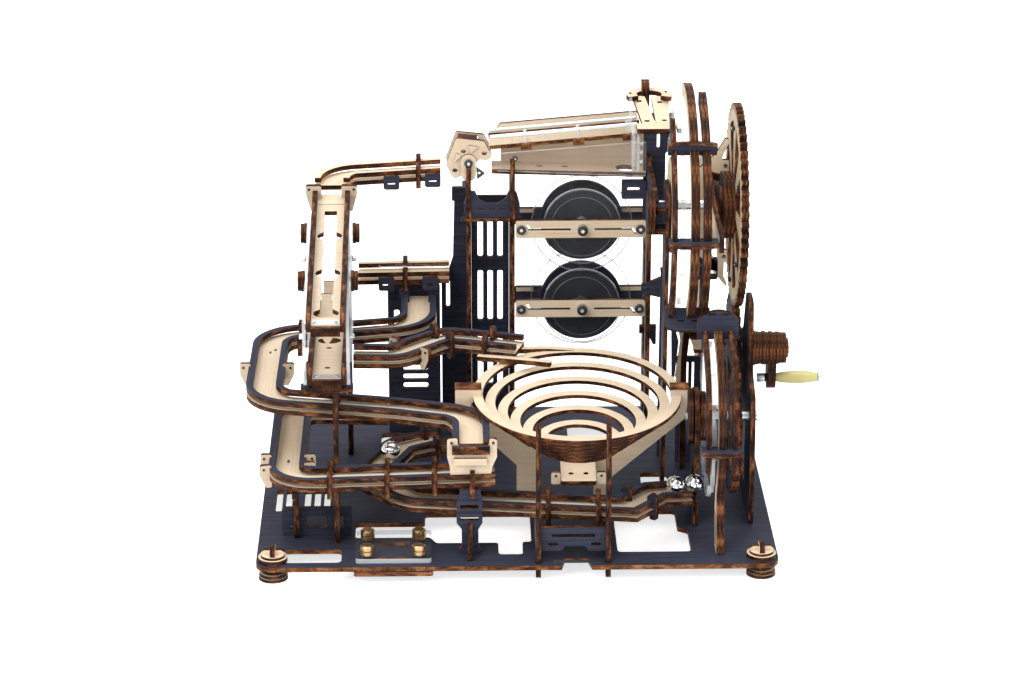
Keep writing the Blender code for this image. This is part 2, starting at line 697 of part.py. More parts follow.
def make_maze():
    low_x = POST_B_X + SHEET + GAP
    high_x = LIFT_POST_X - GAP
    for name, z, dark_y, halo_y in (("upper", DISC_UPPER_Z, 78.0, 72.0),
                                    ("lower", DISC_LOWER_Z, 75.6, 82.0)):
        centre = (DISC_X, z)
        bore = circle(centre, BORE_R, 12)
        bar = box_outline(low_x, z - BAR_TALL / 2, high_x, z + BAR_TALL / 2, 1.0)
        slots = [bore, box_outline(14.0, z - 1.2, 36.0, z + 0.6),
                 box_outline(54.0, z - 0.6, 76.0, z + 1.2)]
        node(f"maze_front_bar_{name}", BIRCH, slab(bar, BAR_Y, BAR_Y + SHEET, "xz", slots))
        node(f"maze_rear_bar_{name}", BIRCH, slab(bar, 86.0, 89.0, "xz", [bore]))
        spindle = rod("y", centre, SHAFT_R, 57.0, 91.0, 12)
        dark = rod("y", centre, DARK_R, dark_y, dark_y + SHEET, 36)
        wheel = f"maze_{name}"
        pivot = (DISC_X, 75.0, z)
        node(f"{wheel}_dark_disc", NAVY, dark, spindle, pivot=pivot)
        sleeve = slab(circle(centre, 5.0, 16), 66.0, halo_y + 1.0, "xz", [circle(centre, BORE_R, 12)])
        if halo_y < dark_y:
            node(f"{wheel}_clear_discs", CLEAR, rod_with_bore(centre, CLEAR_R, 65.0), sleeve,
                 rod_with_bore(centre, HALO_R, halo_y), pivot=pivot)
        else:
            node(f"{wheel}_clear_disc", CLEAR, rod_with_bore(centre, CLEAR_R, 65.0), pivot=pivot)
            node(f"{wheel}_halo_disc", CLEAR, rod_with_bore(centre, HALO_R, halo_y), pivot=pivot)


def rod_with_bore(centre, radius, low, thick=CLEAR_SHEET):
    return slab(circle(centre, radius, 36), low, low + thick, "xz",
                [circle(centre, BORE_R, 12)])


def make_lift_post():
    z = UPPER_AXIS[1]
    strip = [(POST_FRONT - 8.0, BASE_TOP), (POST_BACK, BASE_TOP), (POST_BACK, z + 11.2),
             (60.0, z + 11.2), (60.0, z + 13.2), (8.0, z + 13.2), (-10.0, z + 9.2), (-12.0, z + 0.7),
             (-10.0, z - 7.8), (4.0, z - 12.8), (58.0, z - 22.8)]
    bore = circle(UPPER_AXIS, BORE_R, 12)
    gaps = [box_outline(68.0, low, 84.0, low + 36.0) for low in (20.0, 64.0, 108.0)]
    node("lift_post", BURNT, slab(strip, LIFT_POST_X, LIFT_POST_X + SHEET, "yz", [bore] + gaps))
    beside = LIFT_POST_X + SHEET + GAP
    plate = [(beside, 150.0), (97.0, 150.0), (97.0, z + 11.2), (101.8, z + 14.5), (101.8, 229.4),
             (83.2, 229.4), (83.2, z + 14.7), (beside, z + 13.7)]
    node("lift_plate", NAVY, slab(plate, 70.0, 73.0, "xz"))


def make_lift_head():
    """A bar with two arms that rise to a ring, and a fin behind the ring."""
    bar_y = (27.5, 39.6)
    bar_top = 232.7
    ring_z = 243.0
    bar = block((80.5, bar_y[0], bar_top - SHEET), (96.9, bar_y[1], bar_top))
    arms = [[(80.5, -1.0), (86.5, -1.0), (81.8, 23.4), (75.1, 23.4)],
            [(93.5, -1.0), (96.9, -1.0), (96.9, 23.4), (90.0, 23.4)]]
    shapes = [slope_slab(arm, -SHEET, 0.0, (39.0, bar_top), (57.5, ring_z)) for arm in arms]
    ring = ring_sector((85.3, 58.0), 7.8, 14.2, -27.0, 207.0, 20)
    fin = [(64.0, 236.0), (76.0, 236.0), (76.0, 250.4), (70.0, 251.8), (64.0, 251.8)]
    node("lift_head", BIRCH, bar, *shapes, slab(ring, ring_z, ring_z + SHEET),
         slab(fin, 81.0, 86.0, "yz"))


def cage(name, axis, radii, sheets, crosses, extra):
    """Fixed guide arcs joined by cross plates."""
    inner, outer = radii
    shapes = []
    for low, high, start, stop in sheets:
        outline = ring_sector(axis, inner, outer, 180.0 - stop, 180.0 - start, 22)
        shapes.append(slab(outline, low, high, "yz"))
    for angle, low, high, reach in crosses:
        plate = slab(box_outline(low, -outer - reach, high, -inner - 1.5), -1.5, 1.5)
        matrix = Matrix.Translation((0.0, axis[0], axis[1]))
        matrix = matrix @ Matrix.Rotation(math.radians(-angle), 4, "X")
        shapes.append(turned(plate, matrix))
    node(name, BURNT, *shapes, *extra)


def make_cages():
    upper_sheets = ((92.0, 95.0, -60.0, 62.0), (103.0, 108.0, -60.0, 110.0),
                    (110.5, 115.0, -60.0, 84.0))
    upper_cross = ((45.0, 90.0, 118.9, 1.5), (0.0, 90.0, 118.9, 1.5), (-49.0, 90.0, 117.0, 4.0))
    cage("upper_guide_cage", UPPER_AXIS, UPPER_CAGE, upper_sheets, upper_cross, ())
    lower_sheets = ((111.5, 114.5, -15.0, 88.0), (118.5, 123.0, -38.0, 88.0),
                    (127.0, 130.5, -15.0, 88.0))
    lower_cross = ((0.0, 108.8, 132.8, 1.5), (84.0, 108.3, 133.2, 13.0))
    leg = slab([(-113.5, BASE_TOP), (-106.5, BASE_TOP), (-99.0, 46.0), (-104.0, 50.0)],
               118.5, 123.0, "yz")
    cage("lower_guide_cage", LOWER_AXIS, LOWER_CAGE, lower_sheets, lower_cross, (leg,))


def notched_disc(axis, radius, low, high, pockets, depth, bore):
    """A clear wheel with round pockets that carry the balls."""
    points = []
    step = 360.0 / pockets
    for pocket in range(pockets):
        middle = pocket * step
        for dy, dz in arc((radius, 0.0), depth, 250.0, 110.0, 5):
            angle = math.radians(middle)
            points.append((axis[0] + dy * math.cos(angle) - dz * math.sin(angle),
                           axis[1] + dy * math.sin(angle) + dz * math.cos(angle)))
        points += [(axis[0] + y, axis[1] + z) for y, z in
                   arc((0.0, 0.0), radius, middle + step * 0.35, middle + step * 0.65, 2)]
    return slab(points, low, high, "yz", [circle(axis, bore, 12)])


def spoked_gear(axis, teeth, phase, spokes, place_x):
    """A gear with windows between its spokes."""
    rim = 9.0
    hub = 14.0
    pitch = MODULE * teeth / 2
    outer = pitch - rim
    step = 360.0 / spokes
    windows = [ring_sector(axis, hub, outer, step * index + 9.0, step * (index + 1) - 9.0, 3)
               for index in range(spokes)]
    return slab(gear_outline(axis, teeth, phase), *place_x, "yz", windows)


def make_lift_wheels():
    big_phase = heading_between(UPPER_AXIS, CRANK_AXIS)
    large_phase = meshed_phase(UPPER_AXIS, BIG_TEETH, big_phase, CRANK_AXIS, CRANK_GEAR_TEETH)
    lower_phase = heading_between(LOWER_AXIS, CRANK_AXIS)
    small_phase = meshed_phase(LOWER_AXIS, LOWER_TEETH, lower_phase, CRANK_AXIS, CRANK_TEETH)
    pivot = (136.0, *UPPER_AXIS)
    shapes = [spoked_gear(UPPER_AXIS, BIG_TEETH, big_phase, 8, BIG_GEAR_X),
              rod("x", UPPER_AXIS, SHAFT_R, 84.0, 143.0), rod("x", UPPER_AXIS, 12.0, 123.0, 127.0, 20),
              rod("x", UPPER_AXIS, 20.5, 126.5, 134.0, 24),
              rod("x", UPPER_AXIS, 24.0, 88.8, 91.4, 24)]
    node("big_gear", BIRCH, *shapes, pivot=pivot)
    node("upper_lift_wheel", CLEAR,
         notched_disc(UPPER_AXIS, UPPER_WHEEL_R, 97.5, 100.5, 12, 6.5, SHAFT_R + 0.05), pivot=pivot)
    pivot = (136.0, *LOWER_AXIS)
    shapes = [spoked_gear(LOWER_AXIS, LOWER_TEETH, lower_phase, 6, LOWER_GEAR_X),
              rod("x", LOWER_AXIS, SHAFT_R, 103.0, 146.5), rod("x", LOWER_AXIS, 14.5, 111.0, 114.9, 20)]
    node("lower_gear", BURNT, *shapes, pivot=pivot)
    node("lower_lift_wheel", CLEAR,
         notched_disc(LOWER_AXIS, LOWER_WHEEL_R, 115.2, 118.0, 9, 6.5, SHAFT_R + 0.05), pivot=pivot)
    pivot = (136.0, *CRANK_AXIS)
    large = gear_outline(CRANK_AXIS, CRANK_GEAR_TEETH, large_phase)
    small = gear_outline(CRANK_AXIS, CRANK_TEETH, small_phase)
    gears = [slab(large, *BIG_GEAR_X, "yz"), slab(small, *LOWER_GEAR_X, "yz"),
             rod("x", CRANK_AXIS, 12.0, LOWER_GEAR_X[1] - BITE, BIG_GEAR_X[0] + BITE, 20)]
    shaft = rod("x", CRANK_AXIS, SHAFT_R, LOWER_GEAR_X[0] - 1.0, 150.0)
    grip_axis = (CRANK_AXIS[0], CRANK_AXIS[1] - CRANK_ARM)
    arm = arc(CRANK_AXIS, 9.0, 0.0, 180.0, 8) + arc(grip_axis, 6.6, 180.0, 360.0, 8)
    hub = lathe(HUB, CRANK_AXIS, 24)
    bolt = [rod("x", grip_axis, 1.5, 152.0, GRIP_X[1] + 1.5), rod("x", grip_axis, 2.9, 151.0, 158.0),
            rod("x", grip_axis, 2.9, GRIP_X[1] + 0.3, GRIP_NUT_END)]
    node("crank", BURNT, *gears, shaft, hub, slab(arm, 156.9, 162.2, "yz"), *bolt, pivot=pivot)
    grip_pivot = (162.0, *grip_axis)
    return grip_axis, grip_pivot


def make_grip(grip_axis, grip_pivot):
    low, high = GRIP_X
    span = high - low
    profile = []
    for index in range(9):
        share = index / 8
        profile.append((low + span * share, GRIP_R * (0.62 + 0.38 * math.sin(math.pi * share) ** 0.7)))
    verts, faces = lathe(profile, grip_axis, 16)
    outer = [(x, y, z) for x, y, z in verts]
    bore_start = len(outer)
    for x in (low, high):
        outer += [(x, y, z) for y, z in circle(grip_axis, 1.85, 16)]
    faces = faces[2:]
    last = bore_start - 16
    for index in range(16):
        there = (index + 1) % 16
        faces.append((index, there, bore_start + there, bore_start + index))
        faces.append((last + index, last + there, bore_start + 16 + there, bore_start + 16 + index))
        faces.append((bore_start + index, bore_start + there, bore_start + 16 + there,
                      bore_start + 16 + index))
    node("crank_grip", YELLOW, (outer, faces), pivot=grip_pivot, smooth=True)


def make_side_plates():
    head = arc(LOWER_AXIS, 17.6, -20.0, 200.0, 14)
    left = [(-71.0, BASE_TOP), (-40.0, BASE_TOP), (-40.0, 60.0)] + head + [
        (-71.0, 60.0), (-71.0, 48.0), (-56.0, 48.0), (-56.0, 26.0), (-71.0, 26.0)]
    node("lift_side_left", NAVY, slab(left, 107.5, 110.5, "yz", [circle(LOWER_AXIS, BORE_R, 12)]))
    right = [(-70.0, BASE_TOP), (26.0, BASE_TOP), (24.0, 60.0), (14.0, 106.0), (-6.0, 116.0),
             (-20.0, 144.0), (-40.0, 144.0), (-46.0, 100.0), (-66.0, 92.0), (-70.0, 70.0)]
    bores = [circle(LOWER_AXIS, BORE_R, 12), circle(CRANK_AXIS, BORE_R, 12)]
    window = box_outline(-34.0, 24.0, 10.0, 66.0, 4.0)
    node("lift_side_right", BURNT, slab(right, 141.2, 144.2, "yz", bores + [window]))
    z = UPPER_AXIS[1]
    rear = [(60.0, BASE_TOP), (90.0, BASE_TOP), (80.0, z + 11.2), (10.0, z + 13.2), (-6.0, z + 8.2),
            (-30.0, z + 5.2), (-76.0, z + 5.2), (-76.0, z - 5.8), (-30.0, z - 5.8), (-6.0, z - 8.8),
            (44.0, z - 24.8), (60.0, 120.0)]
    node("upper_bearing_plate", NAVY, slab(rear, 119.2, 122.2, "yz", [circle(UPPER_AXIS, BORE_R, 12)]))


def make_funnel():
    tilt = Matrix.Translation((0.0, FUNNEL_FRONT, FUNNEL_Z)) @ Matrix.Rotation(
        math.radians(FUNNEL_TILT), 4, "X")
    rings = []
    for index in range(FUNNEL_RINGS):
        radius = FUNNEL_R - FUNNEL_STEP * index
        centre = (FUNNEL_X, radius + FUNNEL_INSET * index)
        low = -SHEET * index - 0.15
        ring = slab(circle(centre, radius, 28), low, low + SHEET + 0.3,
                    holes=[circle(centre, radius - FUNNEL_BAND, 28)])
        rings.append(turned(ring, tilt))
    node("funnel_rings", BIRCH, *rings)


def make_funnel_supports(front_path):
    left, right = (x + SHEET / 2 for x in CENTRE_RIB_X)
    z = BASE_TOP + 6.0
    plate = [(left, z), (26.0, z), (28.0, z + SHEET), (40.0, z + SHEET), (42.0, z), (right, z),
             (right, z + 15.0), (left, z + 15.0)]
    ribs = []
    for low in CENTRE_RIB_X:
        reach = distance_where(front_path, lambda x, y: x > low and y < -80.0)
        spot, _ = station(front_path, reach)
        ribs.append(slab(centre_rib_outline(RIB_PEG_Z, spot.z - GAP - 0.2), low, low + SHEET, "yz"))
    low = RIB_PEG_Y[0] + 4.5
    node("centre_support", NAVY, *ribs, slab(plate, low, low + SHEET, "xz"))
    node("funnel_chute", BIRCH, slope_slab(box_outline(27.0, 0.0, 48.0, 33.0), 0.0, SHEET,
                                           (-85.0, 44.5), (-52.4, 52.0)))
    stand = [(1.0, BASE_TOP), (14.0, BASE_TOP), (14.0, 52.0), (48.0, 52.0), (48.0, BASE_TOP),
             (59.0, BASE_TOP), (59.0, 36.0), (105.5, 76.0), (105.5, 94.0), (100.9, 94.0),
             (100.9, 82.0), (66.0, 56.0), (8.0, 56.0), (-25.8, 82.0), (-25.8, 94.0), (-36.0, 94.0),
             (-36.0, 80.0), (1.0, 44.0)]
    node("funnel_stand", BIRCH, slab(stand, -52.0, -49.0, "xz"))


def make_balls(path):
    """Balls on the lower front track, the last one in the gap of the left side plate."""
    length = distance_where(path, lambda x, y: False)
    radius = BALL_R - 0.2
    places = (("ball_left", 42.0, 0.0), ("ball_queue_1", length - 7.8, 0.0),
              ("ball_queue_2", length, 4.4))
    for name, distance, beyond in places:
        spot, heading = station(path, distance)
        centre = (spot.x + beyond * math.cos(heading), spot.y + beyond * math.sin(heading),
                  spot.z + SHEET + radius + GAP)
        node(name, STEEL, ball_shape(centre, radius), pivot=centre, smooth=True)


def build():
    make_base()
    make_feet()
    make_name_plate()
    inner_rib = make_left_supports()
    make_front_column()
    tracks = make_tracks()
    make_tower()
    make_window()
    make_zigzag()
    make_zigzag_supports(inner_rib)
    make_chute()
    make_switch()
    make_maze()
    make_lift_post()
    make_lift_head()
    make_cages()
    grip_axis, grip_pivot = make_lift_wheels()
    make_grip(grip_axis, grip_pivot)
    make_side_plates()
    make_funnel()
    make_funnel_supports(tracks["lower_front_track"])
    make_balls(tracks["lower_front_track"])


build()
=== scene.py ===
"""The looks of a hand cranked wooden marble run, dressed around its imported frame.

Sizes here are millimetres from the middle of the base plate, with Z up from the floor.
"""

import json
import math

import bmesh
import bpy
from mathutils import Matrix, Vector
from mathutils.geometry import tessellate_polygon


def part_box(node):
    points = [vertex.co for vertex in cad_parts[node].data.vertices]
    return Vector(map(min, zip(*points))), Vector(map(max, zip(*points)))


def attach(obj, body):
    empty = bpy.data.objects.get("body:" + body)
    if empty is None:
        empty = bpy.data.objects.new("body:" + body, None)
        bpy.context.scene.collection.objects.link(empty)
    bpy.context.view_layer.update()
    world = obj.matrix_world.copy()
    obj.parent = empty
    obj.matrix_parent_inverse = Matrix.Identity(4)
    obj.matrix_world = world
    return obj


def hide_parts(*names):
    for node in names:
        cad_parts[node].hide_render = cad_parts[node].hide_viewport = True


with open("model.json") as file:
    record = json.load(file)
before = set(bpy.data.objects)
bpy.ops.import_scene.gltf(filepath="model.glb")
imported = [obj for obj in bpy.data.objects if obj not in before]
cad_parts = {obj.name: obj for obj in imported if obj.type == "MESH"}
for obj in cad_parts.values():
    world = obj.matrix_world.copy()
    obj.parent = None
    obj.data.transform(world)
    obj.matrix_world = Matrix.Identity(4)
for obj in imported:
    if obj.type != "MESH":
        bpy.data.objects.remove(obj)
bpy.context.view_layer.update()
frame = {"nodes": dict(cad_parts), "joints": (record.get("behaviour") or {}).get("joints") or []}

# The base plate's middle and the joints' axes, read from the frame
PLATE_LOW, PLATE_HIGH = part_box("base_plate")
SHIFT_X = (PLATE_LOW.x + PLATE_HIGH.x) * 500.0
JOINTS = {joint["name"]: joint for joint in frame["joints"]}


def joint_axis(name):
    """Y and Z of a joint that turns about X, in millimetres."""
    place = JOINTS[name]["pos_m"]
    return (place[1] * 1000.0, place[2] * 1000.0)


UPPER_AXIS = joint_axis("upper_lift_turn")
LOWER_AXIS = joint_axis("lower_lift_turn")
CRANK_AXIS = joint_axis("crank_turn")
GRIP_AXIS = joint_axis("handle_turn")

SHEET = 3.0
CLEAR_SHEET = 2.0
AXLE_R = 3.0
BORE_R = 3.35
WHEEL_BORE_R = 3.05
POCKET_R = 6.5
BASE_Z = PLATE_LOW.z * 1000.0
BASE_TOP = PLATE_HIGH.z * 1000.0
FINE = 48


def polar(radius, angle):
    return (radius * math.cos(math.radians(angle)), radius * math.sin(math.radians(angle)))


def arc(centre, radius, start, stop, steps):
    """Points along an arc, both ends included."""
    points = []
    for step in range(steps + 1):
        dx, dy = polar(radius, start + (stop - start) * step / steps)
        points.append((centre[0] + dx, centre[1] + dy))
    return points


def circle(centre, radius, steps=FINE):
    return arc(centre, radius, 0.0, 360.0, steps)[:-1]


def ellipse(centre, half_u, half_v, steps=32):
    return [(centre[0] + half_u * u, centre[1] + half_v * v)
            for u, v in circle((0.0, 0.0), 1.0, steps)]


def rect(low_u, low_v, high_u, high_v, corner=0.0, steps=5):
    """A rectangle, with rounded corners where a radius is given."""
    if corner <= 0.0:
        return [(low_u, low_v), (high_u, low_v), (high_u, high_v), (low_u, high_v)]
    centres = [(high_u - corner, high_v - corner, 0), (low_u + corner, high_v - corner, 90),
               (low_u + corner, low_v + corner, 180), (high_u - corner, low_v + corner, 270)]
    points = []
    for u, v, start in centres:
        points += arc((u, v), corner, start, start + 90, steps)
    return points


def eased(corners, radius, steps=4):
    """A closed outline with every corner eased by an arc that fits its sides."""
    points = []
    count = len(corners)
    for index in range(count):
        corner = Vector(corners[index])
        before = Vector(corners[index - 1]) - corner
        after = Vector(corners[(index + 1) % count]) - corner
        turn = before.angle(after, math.pi)
        reach = min(radius / max(0.05, math.tan(turn / 2)), before.length * 0.45, after.length * 0.45)
        if turn > math.radians(172) or reach < 0.05:
            points.append(tuple(corner))
            continue
        begin = corner + before.normalized() * reach
        end = corner + after.normalized() * reach
        for step in range(steps + 1):
            share = step / steps
            curve = begin * (1 - share) ** 2 + corner * 2 * share * (1 - share) + end * share ** 2
            points.append((curve.x, curve.y))
    return points


def ring_sector(centre, inner, outer, start, stop, steps):
    return arc(centre, outer, start, stop, steps) + arc(centre, inner, stop, start, steps)


class Shape:
    """Points, faces, a look for each face and each point's place in its own sheet."""

    def __init__(self):
        self.verts = []
        self.faces = []
        self.looks = []
        self.own = []

    def moved(self, matrix):
        self.verts = [tuple(matrix @ Vector(vert)) for vert in self.verts]
        return self


PLANES = {
    "xy": Matrix.Identity(4),
    "xz": Matrix(((1, 0, 0, 0), (0, 0, 1, 0), (0, 1, 0, 0), (0, 0, 0, 1))),
    "yz": Matrix(((0, 0, 1, 0), (1, 0, 0, 0), (0, 1, 0, 0), (0, 0, 0, 1))),
}


def slab(outline, low, high, plane="xy", holes=(), look="birch"):
    """A flat sheet cut to an outline. Its caps take the face's look and its sides the edge's."""
    face, edge = LOOKS[look]
    shape = Shape()
    loops = [outline] + list(holes)
    flat = [point for loop in loops for point in loop]
    caps = tessellate_polygon([[Vector((u, v, 0.0)) for u, v in loop] for loop in loops])
    count = len(flat)
    matrix = PLANES[plane]
    for level, height in ((low, 0.0), (high, high - low)):
        for u, v in flat:
            shape.verts.append(tuple(matrix @ Vector((u, v, level))))
            shape.own.append((u, v, height))
    for cap in caps:
        shape.faces.append(tuple(cap))
        shape.faces.append(tuple(index + count for index in reversed(cap)))
        shape.looks += [face, face]
    start = 0
    for loop in loops:
        size = len(loop)
        for index in range(size):
            here = start + index
            there = start + (index + 1) % size
            shape.faces.append((here, there, there + count, here + count))
            shape.looks.append(edge)
        start += size
    return shape


def block(low, high, look="birch"):
    return slab(rect(low[0], low[1], high[0], high[1]), low[2], high[2], look=look)


def rod(axis, centre, radius, low, high, look="steel", steps=24):
    plane = {"x": "yz", "y": "xz", "z": "xy"}[axis]
    return slab(circle(centre, radius, steps), low, high, plane, look=look)


def lathe(profile, centre, look, axis="x", steps=32):
    """A turned solid along an axis, from place and radius pairs with closed ends."""
    shape = Shape()
    matrix = {"x": PLANES["yz"], "y": PLANES["xz"], "z": PLANES["xy"]}[axis]
    material = LOOKS[look][1]
    for along, radius in profile:
        for u, v in circle(centre, radius, steps):
            shape.verts.append(tuple(matrix @ Vector((u, v, along))))
            shape.own.append((u, v, along))
    shape.faces = [tuple(range(steps)), tuple(range(len(shape.verts) - steps, len(shape.verts)))]
    for ring in range(len(profile) - 1):
        for index in range(steps):
            here = ring * steps + index
            there = ring * steps + (index + 1) % steps
            shape.faces.append((here, there, there + steps, here + steps))
    shape.looks = [material] * len(shape.faces)
    return shape


def ball_shape(centre, radius, look="ball"):
    """A round ball."""
    shape = Shape()
    mesh = bmesh.new()
    bmesh.ops.create_uvsphere(mesh, u_segments=48, v_segments=24, radius=radius,
                              matrix=Matrix.Translation(centre))
    shape.verts = [tuple(vert.co) for vert in mesh.verts]
    shape.own = list(shape.verts)
    shape.faces = [tuple(vert.index for vert in face.verts) for face in mesh.faces]
    shape.looks = [LOOKS[look][0]] * len(shape.faces)
    mesh.free()
    return shape


# Each look is a face material and an edge material
LOOKS = {
    "birch": ("birch_face", "edge_warm"),
    "birch_dark": ("birch_face", "edge_dark"),
    "navy": ("navy_face", "edge_dark"),
    "base": ("navy_face", "edge_warm"),
    "amber": ("edge_warm", "edge_warm"),
    # Clear sheets, whose cut edges carry a painted highlight
    "clear": ("clear_sheet", "clear_edge"),
    "smoky": ("smoky_sheet", "clear_edge"),
    # Clear clips, drawn with a painted sheen
    "faint": ("clear_rim", "clear_rim"),
    # Thin lines on clear discs: painted glint and shade along their rims, and the etched ring
    "rim": ("clear_line", "clear_line"),
    "disc": ("disc_face", "edge_dark"),
    "birch_all": ("birch_face", "birch_face"),
    "steel": ("steel_brushed", "steel_brushed"),
    "ball": ("steel_polished", "steel_polished"),
    "brass": ("brass_turned", "brass_turned"),
    "black": ("black_screw", "black_screw"),
    "yellow": ("yellow_grip", "yellow_grip"),
}
MATERIALS = {}


class Tree:
    """A small helper that wires a material's nodes."""

    def __init__(self, name):
        self.material = bpy.data.materials.new(name)
        self.material.use_nodes = True
        self.nodes = self.material.node_tree.nodes
        self.links = self.material.node_tree.links
        self.shader = self.nodes["Principled BSDF"]
        MATERIALS[name] = self.material

    def add(self, kind, **values):
        made = self.nodes.new(kind)
        for key, value in values.items():
            setattr(made, key, value)
        return made

    def link(self, source, target):
        self.links.new(source, target)

    def own_place(self, scale):
        """The place in the piece's own sheet, in metres, stretched by a scale."""
        source = self.add("ShaderNodeAttribute", attribute_name="sheet")
        mapping = self.add("ShaderNodeMapping")
        mapping.inputs["Scale"].default_value = scale
        self.link(source.outputs["Vector"], mapping.inputs["Vector"])
        return mapping.outputs["Vector"]

    def noise(self, place, scale, detail=3.0, rough=0.55):
        made = self.add("ShaderNodeTexNoise")
        made.inputs["Scale"].default_value = scale
        made.inputs["Detail"].default_value = detail
        made.inputs["Roughness"].default_value = rough
        self.link(place, made.inputs["Vector"])
        return made.outputs["Fac"]

    def ramp(self, factor, stops):
        made = self.add("ShaderNodeValToRGB")
        ramp = made.color_ramp
        while len(ramp.elements) < len(stops):
            ramp.elements.new(1.0)
        for element, (place, colour) in zip(ramp.elements, stops):
            element.position = place
            element.color = (*colour, 1.0)
        self.link(factor, made.inputs["Fac"])
        return made.outputs["Color"]

    def mix(self, factor, first, second, blend="MIX"):
        made = self.add("ShaderNodeMix", data_type="RGBA", blend_type=blend)
        for source, target in ((factor, made.inputs["Factor"]), (first, made.inputs["A"]),
                               (second, made.inputs["B"])):
            if hasattr(source, "is_output"):
                self.link(source, target)
            elif isinstance(source, (int, float)):
                target.default_value = source
            else:
                target.default_value = (*source, 1.0)
        return made.outputs["Result"]

    def bump(self, height, strength, distance):
        made = self.add("ShaderNodeBump")
        made.inputs["Strength"].default_value = strength
        made.inputs["Distance"].default_value = distance
        self.link(height, made.inputs["Height"])
        self.link(made.outputs["Normal"], self.shader.inputs["Normal"])


def wood_face(name, pale, mid, deep, rough):
    """A sheet's face, with long grain, short pores and soft clouds of colour."""
    tree = Tree(name)
    grain = tree.noise(tree.own_place((22.0, 520.0, 22.0)), 1.0, 5.0, 0.6)
    clouds = tree.noise(tree.own_place((14.0, 26.0, 14.0)), 1.0, 2.0)
    pores = tree.noise(tree.own_place((260.0, 3200.0, 260.0)), 1.0, 2.0)
    base = tree.ramp(grain, [(0.30, deep), (0.50, mid), (0.68, pale)])
    shade = tree.ramp(clouds, [(0.3, (0.90, 0.89, 0.88)), (0.7, (1.04, 1.04, 1.04))])
    flecks = tree.ramp(pores, [(0.30, (0.84, 0.82, 0.80)), (0.42, (1.0, 1.0, 1.0))])
    colour = tree.mix(1.0, base, shade, "MULTIPLY")
    colour = tree.mix(0.7, colour, flecks, "MULTIPLY")
    tree.link(colour, tree.shader.inputs["Base Color"])
    tree.shader.inputs["Roughness"].default_value = rough
    tree.shader.inputs["Specular IOR Level"].default_value = 0.12
    tree.bump(grain, 0.2, 0.0002)


def ply_edge(name, burnt, brown, warm, rough):
    """A laser cut edge: three plies with dark glue lines, burnt in patches."""
    tree = Tree(name)
    source = tree.add("ShaderNodeAttribute", attribute_name="sheet")
    split = tree.add("ShaderNodeSeparateXYZ")
    tree.link(source.outputs["Vector"], split.inputs["Vector"])
    share = tree.add("ShaderNodeMath", operation="MULTIPLY")
    share.inputs[1].default_value = 1.0 / (SHEET * 0.001)
    tree.link(split.outputs["Z"], share.inputs[0])
    wrap = tree.add("ShaderNodeMath", operation="FRACT")
    tree.link(share.outputs["Value"], wrap.inputs[0])
    plies = tree.ramp(wrap.outputs["Value"], [
        (0.0, (0.16, 0.14, 0.14)), (0.12, (0.95, 0.95, 0.95)), (0.29, (1.0, 1.0, 1.0)),
        (0.36, (0.24, 0.22, 0.22)), (0.43, (0.95, 0.95, 0.95)), (0.57, (0.95, 0.95, 0.95)),
        (0.64, (0.24, 0.22, 0.22)), (0.71, (1.0, 1.0, 1.0)), (0.88, (0.95, 0.95, 0.95)),
        (1.0, (0.16, 0.14, 0.14))])
    patches = tree.noise(tree.own_place((95.0, 95.0, 260.0)), 1.0, 4.0, 0.65)
    streaks = tree.noise(tree.own_place((1500.0, 1500.0, 300.0)), 1.0, 2.0)
    base = tree.ramp(patches, [(0.38, burnt), (0.51, brown), (0.66, warm)])
    thin = tree.ramp(streaks, [(0.3, (0.70, 0.67, 0.65)), (0.7, (1.2, 1.2, 1.2))])
    colour = tree.mix(1.0, base, plies, "MULTIPLY")
    colour = tree.mix(1.0, colour, thin, "MULTIPLY")
    tree.link(colour, tree.shader.inputs["Base Color"])
    tree.shader.inputs["Roughness"].default_value = rough
    tree.shader.inputs["Specular IOR Level"].default_value = 0.1
    tree.bump(streaks, 0.3, 0.0001)


def plain(name, colour, rough, metal=0.0, wear=0.08, scale=400.0):
    """A smooth material whose tone varies a little over the surface."""
    tree = Tree(name)
    mottle = tree.noise(tree.own_place((1.0, 1.0, 1.0)), scale, 3.0)
    low = tuple(channel * (1.0 - wear) for channel in colour)
    high = tuple(min(1.0, channel * (1.0 + wear)) for channel in colour)
    tree.link(tree.ramp(mottle, [(0.3, low), (0.7, high)]), tree.shader.inputs["Base Color"])
    tree.shader.inputs["Roughness"].default_value = rough
    tree.shader.inputs["Metallic"].default_value = metal
    return tree


def brushed(name, colour, rough):
    """Metal with fine lines along the sheet."""
    tree = plain(name, colour, rough, 1.0, 0.1, 60.0)
    lines = tree.noise(tree.own_place((60.0, 6000.0, 60.0)), 1.0, 2.0)
    tree.bump(lines, 0.15, 0.0001)


def clear(name, colour, alpha):
    """Clear acrylic, thin enough to let what is behind it show unbent."""
    tree = Tree(name)
    tree.shader.inputs["Base Color"].default_value = (*colour, 1.0)
    tree.shader.inputs["Alpha"].default_value = alpha
    tree.shader.inputs["IOR"].default_value = 1.49
    smear = tree.noise(tree.own_place((1.0, 1.0, 1.0)), 60.0, 3.0)
    rough = tree.add("ShaderNodeMapRange")
    rough.inputs["To Min"].default_value = 0.02
    rough.inputs["To Max"].default_value = 0.08
    tree.link(smear, rough.inputs["Value"])
    tree.link(rough.outputs["Result"], tree.shader.inputs["Roughness"])


